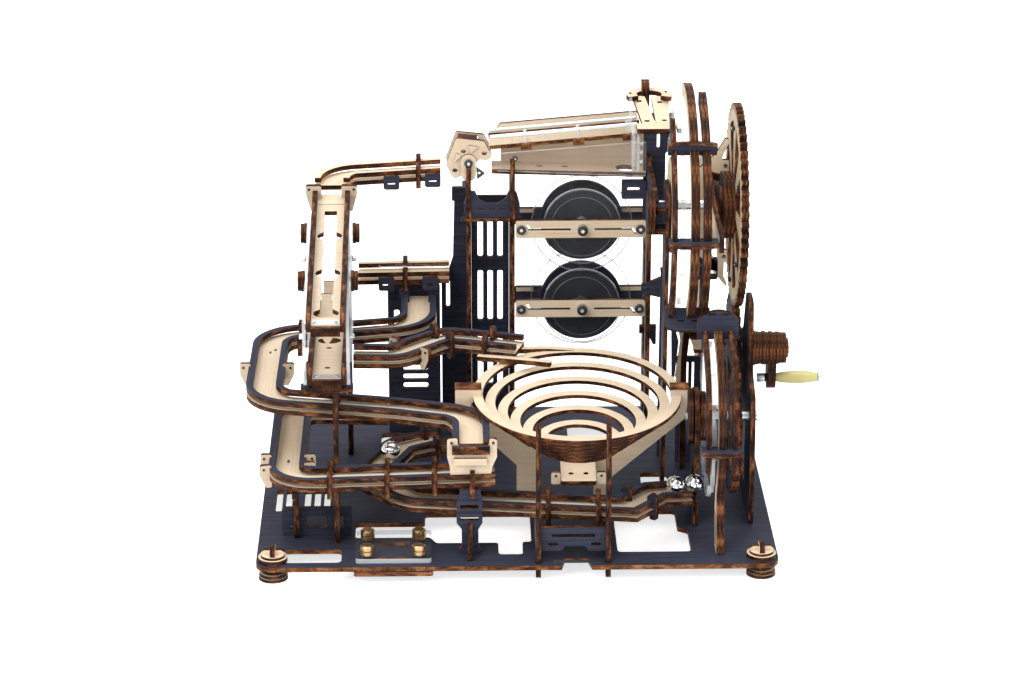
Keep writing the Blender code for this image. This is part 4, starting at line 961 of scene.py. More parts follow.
def make_zigzag_supports():
    z = BASE_TOP
    behind = -80.3
    above = z + 18.3
    outline = [(-92.0, z), (behind, z), (behind, above), (-76.0, above), (-76.0, 40.0), (-72.8, 48.0),
               (-72.8, 107.2), (-83.0, 107.2), (-83.0, 50.0), (-92.0, 44.0)]
    sheet_piece("zigzag_rib", outline, "yz")
    post = [(46.0, z), (60.0, z), (60.0, 84.0), (66.0, 96.0), (66.0, 172.5), (60.0, 171.2),
            (52.0, 160.0), (52.0, 96.0), (46.0, 84.0)]
    sheet_piece("zigzag_post", eased(post, 2.0), "yz")
    for y, name in ((-70.0, "zigzag_comb_front"), (-56.0, "zigzag_comb_back")):
        yoke = [(-126.5, 104.0), (-98.0, 104.0), (-98.0, 112.0), (-101.0, 114.0), (-101.0, 107.3),
                (-123.5, 107.3), (-123.5, 114.0), (-126.5, 112.0)]
        piece(name, slab(eased(yoke, 0.8), y, y + SHEET, "xz", look="navy"))


def make_chute():
    left_x = -13.5
    right_x = 84.0
    tilt = math.atan2(7.5, 88.0)
    matrix = Matrix.Translation((left_x, 0.0, 208.0)) @ Matrix.Rotation(-tilt, 4, "Y")
    length = (right_x - left_x) / math.cos(tilt)
    end = length - 2.6
    floor = slab(rect(0.5, 66.6, end - 0.5, 84.6), 0.0, SHEET, look="birch")
    front = slab(rect(0.0, 66.4, end, 70.4), SHEET - 0.4, 6.5, look="birch_all")
    rear = slab(rect(0.0, 80.4, end, 84.4), SHEET - 0.4, 6.5, look="birch")
    wall_outline = eased([(4.0, -2.0), (end - 1.0, -2.0), (end - 1.0, 11.0), (8.0, 11.0), (4.0, 6.0)], 1.2)
    wall = slab(wall_outline, 84.0, 87.0, "xz", look="birch_dark")
    bars = [rod("x", (68.4, 7.4), 1.5, 1.0, end - 2.0, "steel"),
            rod("x", (82.4, 7.4), 1.5, 1.0, end - 2.0, "steel")]
    piece("chute_rails", *(shape.moved(matrix) for shape in (floor, front, rear, wall, *bars)),
          replaces=("chute_rails",))
    clips = []
    for along in (22.0, 55.0, 86.0):
        outline = eased([(65.0, -1.0), (71.5, -1.0), (71.5, 10.0), (69.0, 10.0), (69.0, 4.0),
                         (67.6, 4.0), (67.6, 11.0), (65.0, 11.0)], 0.5)
        # Clear clips with a painted sheen
        clips.append(slab(outline, along, along + CLEAR_SHEET, "yz", look="faint").moved(matrix))
        ledge = slab(rect(along - 2.4, 65.0, along + 4.4, 66.3), -1.6, 2.4, look="amber")
        clips.append(ledge.moved(matrix))
    piece("chute_clips", *clips)
    shelf_matrix = Matrix.Translation((-12.0, 0.0, 192.3)) @ Matrix.Rotation(0.03, 4, "Y")
    shelf = slab(rect(0.0, 66.4, 96.5, 84.6, 1.0), 0.0, SHEET, holes=[
        circle((84.5, 75.5), 6.6), rect(28.0, 74.0, 32.0, 76.0, 0.6), rect(44.0, 74.0, 48.0, 76.0, 0.6)],
        look="birch_dark")
    back = slab([(-6.0, 193.1), (84.0, 190.4), (84.0, 213.9), (-6.0, 206.2)], 84.2, 87.2, "xz",
                look="birch_dark")
    tabs = [block((along, 65.4, 0.2), (along + 4.0, 66.5, 2.8), "navy")
            for along in (10.0, 36.0, 62.0, 84.0)]
    piece("chute_shelf", *(shape.moved(shelf_matrix) for shape in (shelf, *tabs)), back,
          replaces=("chute_shelf",))
    bracket = eased([(69.5, 175.0), (84.9, 175.0), (84.9, 187.2), (69.5, 187.2)], 1.0)
    piece("shelf_bracket", slab(bracket, 66.5, 69.5, "xz", [rect(72.9, 180.2, 81.0, 182.6, 1.1)],
                                look="navy"))
    cover = eased([(-9.0, 194.5), (84.5, 190.5), (84.5, 213.0), (-9.0, 205.8)], 1.5)
    sheet_piece("chute_cover", cover, "xz", look="smoky")
    piece("chute_screw", *bolt((2.5, 203.0), "y", span("chute_cover")[0][1], 1.7))


def make_switch():
    x, z = SWITCH_PIVOT
    outline = eased([(-35.0, 188.8), (-31.2, 190.7), (-19.3, 201.5), (-15.6, 200.5), (-12.4, 202.4),
                     (-11.9, 204.7), (-14.2, 208.4), (-16.8, 213.4), (-34.2, 215.3), (-40.6, 198.0),
                     (-37.2, 190.8)], 1.6)
    ovals = [ellipse(centre, 1.7, 1.2) for centre in ((-29.7, 207.0), (-16.7, 205.5), (-35.0, 194.5))]
    front = slab(outline, 67.0, 70.0, "xz", [circle(SWITCH_PIVOT, 2.6)] + ovals, look="birch_dark")
    notch = rect(-27.9, 209.9, -20.0, 212.2, 0.9)
    rear = slab(outline, 81.0, 84.0, "xz", [circle(SWITCH_PIVOT, 2.6), notch], look="birch_dark")
    bridge = slab([(-33.0, 211.5), (-21.0, 210.5), (-21.0, 213.3), (-33.0, 214.4)], 69.9, 81.1, "xz",
                  look="birch_dark")
    foot = slab(rect(-36.5, 191.4, -33.0, 194.4), 69.9, 81.1, "xz", look="birch_dark")
    tabs = [slab(eased(corners, 0.5), 66.0, 67.0, "xz", look="birch_dark") for corners in (
        [(-27.4, 211.1), (-19.9, 209.8), (-24.6, 206.6)], [(-34.0, 206.0), (-30.9, 204.0), (-36.2, 199.1)])]
    piece("switch_rocker", front, rear, bridge, foot, *tabs, body="switch", replaces=("switch_rocker",))
    pointer = eased([(x + 4.7, z - 2.3), (x + 10.3, z - 6.6), (x + 5.3, z - 10.5)], 0.6)
    piece("switch_pointer", slab(pointer, 63.4, 65.4, "xz", [circle((x + 6.6, z - 6.4), 0.9, 16)],
                                 look="black"))


def make_maze():
    for name in ("upper", "lower"):
        low, high = span(f"maze_front_bar_{name}")
        back_front = span(f"maze_rear_bar_{name}")[0][1]
        joint = JOINTS[f"maze_{name}_turn"]["pos_m"]
        centre = (joint[0] * 1000.0 - SHIFT_X, joint[2] * 1000.0)
        z = centre[1]
        bar = rect(low[0], low[2] - 0.5, high[0], high[2] + 0.5, 1.5)
        left = [(9.4, z + 3.0), (11.0, z + 3.0), (12.2, z + 0.6), (37.5, z + 0.6), (37.5, z - 0.6),
                (11.0, z - 0.6), (9.4, z + 1.6)]
        right = [(52.5, z + 0.6), (76.8, z + 0.6), (79.2, z - 3.2), (77.6, z - 3.2), (75.8, z - 0.6),
                 (52.5, z - 0.6)]
        sheet_piece(f"maze_front_bar_{name}", bar, "xz", [circle(centre, 3.2), left, right],
                    "birch_dark")
        sheet_piece(f"maze_rear_bar_{name}", bar, "xz", [circle(centre, 3.3)])
        strips = [slab(rect(first, high[2] - 2.4, last, high[2] + 0.3), back_front - 0.7,
                       back_front - 0.1, "xz", look="birch_dark")
                  for first, last in ((low[0] + 1.0, low[0] + 12.0), (high[0] - 24.0, high[0] - 1.0))]
        piece(f"maze_rear_strips_{name}", *strips)
        for index, x in enumerate((low[0] + 3.6, high[0] - 3.6)):
            piece(f"maze_{name}_screw_{index}", *bolt((x, z), "y", low[1], 2.9))
        body = f"maze_wheel_{name}"
        dark = f"maze_{name}_dark_disc"
        low, high = span(dark)
        dark_low = 78.0 if name == "upper" else 75.6
        piece(dark, slab(circle(centre, 26.1, 96), dark_low, dark_low + SHEET, "xz", look="disc"),
              rod("y", centre, AXLE_R, low[1], high[1], "steel"),
              *bolt(centre, "y", low[1] + 0.2, 3.2), body=body, replaces=(dark,))
        clear = [f"maze_{name}_clear_discs"] if name == "upper" else [
            "maze_lower_clear_disc", "maze_lower_halo_disc"]
        halo = 72.0 if name == "upper" else 82.0
        for index, (radius, at) in enumerate(((24.7, 65.0), (32.0, halo))):
            piece(f"maze_{name}_clear_{index}", slab(circle(centre, radius, 96), at, at + CLEAR_SHEET,
                  "xz", [circle(centre, BORE_R)], look="clear"), body=body,
                  replaces=(clear[min(index, len(clear) - 1)],) if index < len(clear) else ())
            # A thin ring just inside each clear disc's rim: a painted edge line of glint and shade
            piece(f"maze_{name}_rim_{index}", slab(circle(centre, radius - 0.1, 96), at - 0.2, at - 0.05,
                  "xz", [circle(centre, radius - 0.8, 96)], look="rim"), body=body)
        etched = slab(circle(centre, 19.6, 96), 64.7, 64.85, "xz", [circle(centre, 19.2, 96)], look="rim")
        piece(f"maze_{name}_etched_ring", etched, body=body)


def make_lift_post():
    z = UPPER_AXIS[1]
    strip = [(POST_FRONT - 8.0, BASE_TOP), (POST_BACK, BASE_TOP), (POST_BACK, z + 11.2),
             (60.0, z + 11.2), (60.0, z + 7.0), (4.0, z + 6.0), (-6.0, z + 5.0), (-9.0, z),
             (-6.0, z - 5.0), (4.0, z - 6.0), (50.0, z - 8.0), (58.0, z - 16.0)]
    gaps = [rect(68.0, at, 84.0, at + 36.0, 2.0) for at in (20.0, 64.0, 108.0)]
    sheet_piece("lift_post", eased(strip, 2.0), "yz", [circle(UPPER_AXIS, BORE_R)] + gaps)
    beside = span("lift_plate")[0][0]
    plate = [(beside, 150.0), (97.0, 150.0), (97.0, z + 11.2), (101.8, z + 14.5), (101.8, 229.4),
             (83.2, 229.4), (83.2, z + 14.7), (beside, z + 13.7)]
    sheet_piece("lift_plate", eased(plate, 1.2), "xz", [rect(91.4, z + 14.2, 93.4, z + 23.7, 0.9)])
    end = (-6.0, z - 2.8)
    discs = [rod("x", end, 13.3, 81.0, 83.1, "navy", 48), rod("x", end, 13.3, 83.3, 85.4, "navy", 48)]
    shelves = [block((85.6, -14.0, level), (94.6, -4.0, level + 2.4), "navy")
               for level in (z + 0.9, z - 13.4)]
    piece("lift_bearing", *discs, *shelves)
    head = arc((-4.0, z + 2.0), 15.0, -30.0, 210.0, 24)
    guard = eased(head + [(-15.0, z - 60.0), (-8.0, BASE_TOP), (6.0, BASE_TOP), (9.0, z - 60.0)], 2.0)
    piece("lift_guard", slab(guard, 91.8, 94.2, "yz", [circle(UPPER_AXIS, 4.0)], look="navy"))


def make_lift_head():
    """A bar with two arms that rise to a ring, and a double fin behind the ring."""
    low, high = span("lift_head")
    bar_top = 232.7
    ring_z = 243.0
    centre = (85.3, 58.0)
    bar = slab(rect(low[0] + 5.4, low[1], high[0] - 2.6, low[1] + 12.1, 1.0), bar_top - SHEET, bar_top,
               look="birch_dark")
    left_arm = eased([(80.5, -1.0), (90.4, -1.0), (87.6, 3.0), (82.6, 23.4), (75.1, 23.4)], 1.2)
    right_arm = eased([(88.8, -1.0), (96.9, -1.0), (97.6, 23.4), (86.6, 23.4)], 1.6)
    slope = math.atan2(ring_z - bar_top, 18.5)
    matrix = Matrix.Translation((0.0, 39.0, bar_top)) @ Matrix.Rotation(slope, 4, "X")
    arms = [slab(left_arm, -SHEET, 0.0, holes=[rect(77.6, 18.5, 80.6, 20.0, 0.5),
                                              rect(81.6, 1.5, 84.8, 2.9, 0.5)], look="birch_dark"),
            slab(right_arm, -SHEET, 0.0, holes=[rect(90.2, 17.5, 93.2, 19.0, 0.5),
                                               rect(92.4, 2.0, 95.4, 3.4, 0.5)], look="birch_dark")]
    arms = [shape.moved(matrix) for shape in arms]
    ring = slab(ring_sector(centre, 7.8, 14.2, -27.0, 207.0, 48), ring_z, ring_z + SHEET,
                holes=[rect(73.1, 58.2, 74.5, 61.6, 0.5), rect(95.2, 61.0, 96.6, 64.4, 0.5)],
                look="birch_dark")
    fin = eased([(64.0, 236.0), (76.0, 236.0), (76.0, 250.4), (70.0, 251.8), (64.0, 251.8)], 1.2)
    piece("lift_head", bar, *arms, ring, slab(fin, 81.0, 83.4, "yz", look="birch_dark"),
          slab(fin, 83.6, 86.0, "yz", look="birch_dark"), replaces=("lift_head",))
    end = block((101.0, low[1], bar_top - SHEET), (103.6, low[1] + 12.1, bar_top), "birch_dark")
    piece("lift_head_end", end)
    inner = eased([(44.0, 226.0), (56.0, 226.0), (57.0, 244.5), (53.0, 246.5), (46.0, 240.0)], 1.0)
    outer = eased([(30.0, 205.0), (44.0, 205.0), (44.0, 228.0), (38.0, 233.0), (30.0, 228.0)], 1.0)
    # Clear clips with a painted sheen
    piece("lift_head_clips", slab(inner, 72.4, 74.4, "yz", look="faint"),
          slab(inner, 98.6, 100.6, "yz", look="faint"), slab(outer, 76.4, 78.4, "yz", look="faint"),
          slab(outer, 73.6, 75.6, "yz", look="faint"))
    nuts = [nut((36.0, level), 78.5, 80.6, 1.9) for level in (209.0, 215.0, 221.0)]
    piece("lift_head_nuts", *nuts)


def cage(name, axis, radii, sheets, crosses, extra):
    """Fixed guide arcs joined by cross plates."""
    inner, outer = radii
    shapes = []
    for low, high, start, stop, look in sheets:
        outline = ring_sector(axis, inner, outer, 180.0 - stop, 180.0 - start, 60)
        thick = (high - low) / 2 - 0.1 if high - low > 4.0 else high - low
        at = low
        while at + thick < high + 0.05:
            shapes.append(slab(outline, at, at + thick, "yz", look=look))
            at += thick + 0.2
    for angle, low, high, reach in crosses:
        edge = -outer - reach
        curve = 3.0 if reach < 6.0 else 7.0
        rise = 1.5 if reach < 6.0 else -7.0
        span_x = high - low
        outline = [(low, -inner - 1.5), (low, edge - rise)]
        outline += [(low + span_x * share, edge - rise - curve * math.sin(math.pi * share) ** 0.6)
                    for share in (0.04, 0.12, 0.25, 0.4, 0.5, 0.6, 0.75, 0.88, 0.96)]
        outline += [(high, edge - rise), (high, -inner - 1.5)]
        marks = [rect(low + span_x * share - 2.4, edge + 1.6, low + span_x * share + 2.4, edge + 2.5, 0.4)
                 for share in (0.34, 0.68)] if reach > 3.0 else []
        plate = slab(outline, -1.5, 1.5, holes=marks, look="navy")
        matrix = Matrix.Translation((0.0, axis[0], axis[1]))
        matrix = matrix @ Matrix.Rotation(math.radians(-angle), 4, "X")
        shapes.append(plate.moved(matrix))
    piece(name, *shapes, *extra, replaces=(name,))


def make_cages():
    upper_sheets = ((92.0, 95.0, -60.0, 62.0, "navy"), (103.0, 108.0, -60.0, 110.0, "birch_dark"),
                    (110.5, 115.0, -60.0, 84.0, "navy"))
    upper_cross = ((45.0, 90.0, 118.9, 1.5), (0.0, 90.0, 118.9, 1.5), (-49.0, 90.0, 117.0, 4.0))
    cage("upper_guide_cage", UPPER_AXIS, (66.0, 74.0), upper_sheets, upper_cross, ())
    lower_sheets = ((111.5, 114.5, -15.0, 88.0, "navy"), (118.5, 123.0, -38.0, 88.0, "birch_dark"),
                    (127.0, 130.5, -15.0, 88.0, "navy"))
    lower_cross = ((0.0, 108.8, 132.8, 1.5), (84.0, 108.3, 133.2, 13.0))
    leg = eased([(-113.5, BASE_TOP), (-99.5, BASE_TOP), (-94.0, 34.0), (-97.5, 50.0), (-104.0, 52.0)], 1.0)
    window = eased([(-108.5, 14.0), (-103.0, 14.0), (-99.0, 30.0), (-102.0, 36.0)], 1.0)
    legs = tuple(slab(leg, low, low + 2.27, "yz", [window], look="birch_dark") for low in (118.44, 120.79))
    cage("lower_guide_cage", LOWER_AXIS, (51.0, 58.0), lower_sheets, lower_cross, legs)


def lift_wheel(axis, radius, low, high, pockets):
    """A clear wheel with round pockets that carry the balls."""
    points = []
    step = 360.0 / pockets
    for pocket in range(pockets):
        middle = pocket * step
        for dy, dz in arc((radius, 0.0), POCKET_R, 250.0, 110.0, 14):
            angle = math.radians(middle)
            points.append((axis[0] + dy * math.cos(angle) - dz * math.sin(angle),
                           axis[1] + dy * math.sin(angle) + dz * math.cos(angle)))
        points += [(axis[0] + y, axis[1] + z) for y, z in
                   arc((0.0, 0.0), radius, middle + step * 0.3, middle + step * 0.7, 8)]
    return slab(points, low, high, "yz", [circle(axis, WHEEL_BORE_R)], look="clear")


MODULE = 2.0
BIG_TEETH, CRANK_GEAR_TEETH, LOWER_TEETH, CRANK_TEETH = 60, 33, 45, 15
BIG_GEAR_X = (133.6, 138.2)
LOWER_GEAR_X = (128.6, 133.2)
BACKLASH = 0.35


def gear_outline(centre, teeth, phase):
    """Rounded teeth on a pitch circle."""
    pitch = MODULE * teeth / 2
    tip = pitch + MODULE * 0.9
    root = pitch - MODULE * 1.15
    step = 360.0 / teeth
    slack = math.degrees(BACKLASH / 2 / pitch)
    wide = step * 0.36 - slack
    narrow = step * 0.14 - slack / 2
    points = []
    for tooth in range(teeth):
        middle = phase + tooth * step
        middle_wide = (wide * 0.62 + narrow * 0.38)
        for radius, angle in ((root, -wide), (pitch, -middle_wide), (tip, -narrow), (tip, narrow),
                              (pitch, middle_wide), (root, wide)):
            dy, dz = polar(radius, middle + angle)
            points.append((centre[0] + dy, centre[1] + dz))
    return points


def heading_between(centre, other):
    return math.degrees(math.atan2(other[1] - centre[1], other[0] - centre[0]))


def meshed_phase(centre, teeth, phase, other, other_teeth):
    """The phase that puts the other gear's gap on this gear's tooth."""
    toward = heading_between(centre, other)
    rise = math.radians(phase - toward) * MODULE * teeth / 2
    return toward + 180.0 - math.degrees((rise + math.pi * MODULE / 2) / (MODULE * other_teeth / 2))


def gear_layers(outline, place_x, windows, looks):
    """A gear cut twice from sheet, one layer on the other."""
    low, high = place_x
    middle = (low + high) / 2
    return [slab(outline, low, middle - 0.08, "yz", windows, look=looks[0]),
            slab(outline, middle + 0.08, high, "yz", windows, look=looks[1])]


def spoked_gear(axis, teeth, phase, spokes, place_x, looks):
    """A gear with windows between its spokes."""
    outer = MODULE * teeth / 2 - 9.0
    step = 360.0 / spokes
    windows = [eased(ring_sector(axis, 14.0, outer, step * index + 9.0, step * (index + 1) - 9.0, 10), 1.5)
               for index in range(spokes)]
    return gear_layers(gear_outline(axis, teeth, phase), place_x, windows, looks)


def make_lift_wheels():
    big = heading_between(UPPER_AXIS, CRANK_AXIS)
    large = meshed_phase(UPPER_AXIS, BIG_TEETH, big, CRANK_AXIS, CRANK_GEAR_TEETH)
    lower = heading_between(LOWER_AXIS, CRANK_AXIS)
    small = meshed_phase(LOWER_AXIS, LOWER_TEETH, lower, CRANK_AXIS, CRANK_TEETH)
    flanges = [rod("x", UPPER_AXIS, 29.0, 95.2, 97.3, "birch_dark", 64),
               rod("x", UPPER_AXIS, 12.0, 123.0, 126.4, "navy", 40),
               rod("x", UPPER_AXIS, 20.5, 126.5, 128.7, "navy", 56),
               rod("x", UPPER_AXIS, 20.5, 128.9, 131.1, "navy", 56),
               rod("x", UPPER_AXIS, 20.5, 131.3, 133.5, "navy", 56),
               rod("x", UPPER_AXIS, 12.0, 138.2, 141.0, "navy", 40)]
    screws = []
    for angle in range(30, 390, 60):
        dy, dz = polar(48.3, angle)
        screws += bolt((UPPER_AXIS[0] + dy, UPPER_AXIS[1] + dz), "x", BIG_GEAR_X[0], 1.5)
    piece("big_gear", *spoked_gear(UPPER_AXIS, BIG_TEETH, big, 8, BIG_GEAR_X, ("birch_dark", "navy")),
          *flanges, *screws, rod("x", UPPER_AXIS, AXLE_R, 84.0, 143.0, "steel"),
          body="upper_lift", replaces=("big_gear",))
    piece("upper_lift_wheel", lift_wheel(UPPER_AXIS, 64.0, 97.5, 100.5, 12),
          body="upper_lift", replaces=("upper_lift_wheel",))
    layers = [rod("x", LOWER_AXIS, 17.4, low, low + 1.25, "navy", 48) for low in (104.0, 105.4)]
    layers += [rod("x", LOWER_AXIS, 15.0, low, low + 1.9, "navy", 48) for low in (111.0, 113.0)]
    piece("lower_gear", *spoked_gear(LOWER_AXIS, LOWER_TEETH, lower, 6, LOWER_GEAR_X, ("navy", "navy")),
          *layers, rod("x", LOWER_AXIS, AXLE_R, 103.0, 146.5, "steel"),
          body="lower_lift", replaces=("lower_gear",))
    piece("lower_lift_wheel", lift_wheel(LOWER_AXIS, 49.0, 115.2, 118.0, 9),
          body="lower_lift", replaces=("lower_lift_wheel",))
    large_outline = gear_outline(CRANK_AXIS, CRANK_GEAR_TEETH, large)
    small_outline = gear_outline(CRANK_AXIS, CRANK_TEETH, small)
    gears = gear_layers(large_outline, BIG_GEAR_X, [], ("navy", "navy"))
    gears += gear_layers(small_outline, LOWER_GEAR_X, [], ("navy", "navy"))
    hub = []
    at = 147.0
    radii = (10.9, 10.3, 10.0, 10.5, 9.8, 10.3, 9.7, 10.1, 9.6, 9.5)
    tall = (168.4 - at) / len(radii)
    for radius in radii:
        hub.append(rod("x", CRANK_AXIS, radius, at, at + tall - 0.12, "navy", 48))
        at += tall
    arm = arc(CRANK_AXIS, 9.0, 0.0, 180.0, 24) + arc(GRIP_AXIS, 6.6, 180.0, 360.0, 24)
    piece("crank", *gears, rod("x", CRANK_AXIS, AXLE_R, 127.6, 169.4, "steel"), *hub,
          slab(arm, 156.9, 159.5, "yz", look="navy"), slab(arm, 159.6, 162.2, "yz", look="navy"),
          rod("x", GRIP_AXIS, 1.5, 152.0, 190.0, "steel"), nut(GRIP_AXIS, 151.0, 156.8, 2.9),
          nut(GRIP_AXIS, 188.7, 191.6, 2.9), rod("x", CRANK_AXIS, 6.0, 168.4, 169.6, "birch", 32),
          nut(CRANK_AXIS, 169.6, 171.4, 3.4),
          body="crank_shaft", replaces=("crank",))


def make_grip():
    low, high = span("crank_grip")
    length = high[0] - low[0]
    profile = []
    for index in range(33):
        share = index / 32
        profile.append((low[0] + length * share, 4.0 * (0.62 + 0.38 * math.sin(math.pi * share) ** 0.7)))
    piece("crank_grip", lathe(profile, GRIP_AXIS, "yellow", "x", 48), body="crank_handle",
          replaces=("crank_grip",))


def make_side_plates():
    z = BASE_TOP
    left = [(-71.0, z), (-40.0, z), (-40.0, 60.0)] + arc(LOWER_AXIS, 17.6, -20.0, 200.0, 24)
    left += [(-71.0, 48.0), (-56.0, 48.0), (-56.0, 26.0), (-71.0, 26.0)]
    sheet_piece("lift_side_left", eased(left, 2.0), "yz", [circle(LOWER_AXIS, BORE_R)])
    right = [(-70.0, z), (26.0, z), (24.0, 60.0), (14.0, 106.0), (-6.0, 116.0), (-20.0, 144.0),
             (-40.0, 144.0), (-46.0, 100.0), (-66.0, 92.0), (-70.0, 70.0)]
    holes = [circle(LOWER_AXIS, BORE_R), circle(CRANK_AXIS, BORE_R), rect(-34.0, 24.0, 10.0, 66.0, 4.0)]
    piece("lift_side_right", slab(eased(right, 5.0), 141.2, 144.2, "yz", holes, look="navy"),
          replaces=("lift_side_right",))
    z = UPPER_AXIS[1]
    rear = [(60.0, BASE_TOP), (90.0, BASE_TOP), (80.0, z + 11.2), (10.0, z + 13.2), (-6.0, z + 8.2),
            (-30.0, z + 5.2), (-76.0, z + 5.2), (-76.0, z - 5.8), (-30.0, z - 5.8), (-6.0, z - 8.8),
            (44.0, z - 24.8), (60.0, 120.0)]
    sheet_piece("upper_bearing_plate", eased(rear, 3.0), "yz", [circle(UPPER_AXIS, BORE_R)],
                "birch_dark")


def make_gear_brace():
    """A birch sheet behind the big gear's hub, its ledge and the slotted plates below it."""
    sheet = eased([(112.0, 206.0), (124.6, 217.5), (130.5, 227.7), (132.9, 226.0), (128.0, 213.6),
                   (132.9, 213.6), (132.9, 206.6), (129.6, 196.0), (129.8, 155.4), (132.9, 155.4),
                   (132.9, 147.4), (131.2, 147.4), (130.8, 138.0), (132.9, 134.0), (132.9, 131.0),
                   (116.2, 151.5), (113.0, 160.0)], 1.2)
    cuts = [rect(121.2, 176.0, 124.0, 196.0, 0.8), [(119.0, 160.0), (126.6, 157.0), (126.8, 146.0)],
            circle((131.0, 210.2), 0.9, 12), circle((131.2, 151.3), 0.9, 12)]
    brace = slab(sheet, 24.0, 27.0, "xz", cuts, look="birch_dark")
    ledge = eased([(118.0, 205.5), (121.9, 206.6), (128.0, 204.8), (133.0, 207.4), (133.0, 203.0),
                   (128.0, 200.4), (121.9, 202.4), (118.0, 201.0)], 0.8)
    edge = [slab(ledge, 21.4, 22.5, "xz", look="amber"), slab(ledge, 22.7, 23.8, "xz", look="amber")]
    screws = bolt((130.6, 210.2), "y", 24.0, 1.1) + bolt((131.0, 151.3), "y", 24.0, 1.1)
    piece("gear_brace", brace, *edge, *screws)
    plate = slab(rect(112.0, 136.0, 127.4, 150.0, 1.5), 24.0, 27.0, "xz",
                 [ellipse((119.0, 145.6), 2.4, 1.5), ellipse((124.2, 140.6), 2.4, 1.5)], look="navy")
    piece("gear_brace_plate", plate)
    tab = eased([(82.0, 122.4), (86.0, 123.0), (94.4, 126.8), (99.0, 118.3), (94.0, 113.2),
                 (82.7, 115.9)], 1.2)
    piece("post_tab", slab(tab, 55.0, 57.8, "xz", [ellipse((86.2, 119.4), 0.7, 0.5, 10),
                                                  ellipse((90.0, 120.0), 0.7, 0.5, 10)], look="navy"))
    cuts = upright_slots((105.8, 109.4, 113.0), ((56.0, 79.0),), 1.6)
    piece("gear_panel", slab(rect(103.4, BASE_TOP, 119.0, 82.4, 1.2), 30.0, 33.0, "xz", cuts, look="navy"))


def make_rear_posts():
    """The leaning guard, the post and the small plates between the lift post and the lower lift."""
    guard = [(93.2, 133.5), (96.2, 133.5), (98.2, 106.6), (100.2, 102.0), (97.4, 95.3), (97.4, BASE_TOP),
             (92.4, BASE_TOP)]
    facing = [(92.6, 138.9), (94.8, 138.9), (97.9, 110.0), (96.0, 108.0)]
    piece("rear_guard", slab(eased(guard, 0.6), 40.0, 43.0, "xz", look="navy"),
          slab(facing, 38.0, 39.95, "xz", look="amber"))
    post = [(106.8, 107.0), (111.0, 107.0), (108.8, 85.0), (108.8, BASE_TOP),
            (105.4, BASE_TOP), (105.4, 85.0)]
    piece("rear_post", slab(post, 18.0, 21.0, "xz", look="amber"))
    leaning = [(103.3, 105.8), (108.4, 105.2), (105.2, 65.2), (102.0, 72.3), (104.8, 95.8)]
    behind = [(99.3, 105.5), (102.2, 101.5), (104.0, 95.0), (101.8, 71.7), (100.0, 69.5)]
    piece("rear_brace", slab(leaning, 21.1, 24.0, "xz", look="birch_dark"),
          slab(behind, 24.1, 27.0, "xz", look="navy"))
    piece("rear_steps", block((109.8, 9.0, 101.9), (114.2, 18.0, 110.6), "birch_dark"),
          slab([(110.2, 101.8), (117.0, 101.8), (117.0, 95.3), (112.4, 95.3)], 9.0, 18.0, "xz",
               look="birch_dark"),
          block((112.4, 8.9, 93.0), (118.6, 18.0, 95.2), "amber"))
    piece("lift_post_knob", block((82.2, 72.0, 82.8), (85.15, 75.0, 88.0), "navy"),
          slab([(88.25, 88.2), (93.0, 88.2), (93.0, 75.3), (91.0, 75.3), (89.3, 79.0), (88.25, 83.0)],
               72.0, 75.0, "xz", look="navy"))


def make_funnel():
    low, high = span("funnel_rings")
    front = low[1]
    centre_x = (low[0] + high[0]) / 2
    tilt = Matrix.Translation((0.0, -112.0, 82.0)) @ Matrix.Rotation(math.radians(5.0), 4, "X")
    rings = []
    for index in range(6):
        radius = 63.0 - 7.4 * index
        centre = (centre_x, radius + 1.0 * index)
        level = -SHEET * index
        rings.append(slab(circle(centre, radius, 120), level, level + SHEET - 0.65,
                          holes=[circle(centre, radius - 6.0, 120)], look="birch_dark").moved(tilt))
    piece("funnel_rings", *rings, replaces=("funnel_rings",))


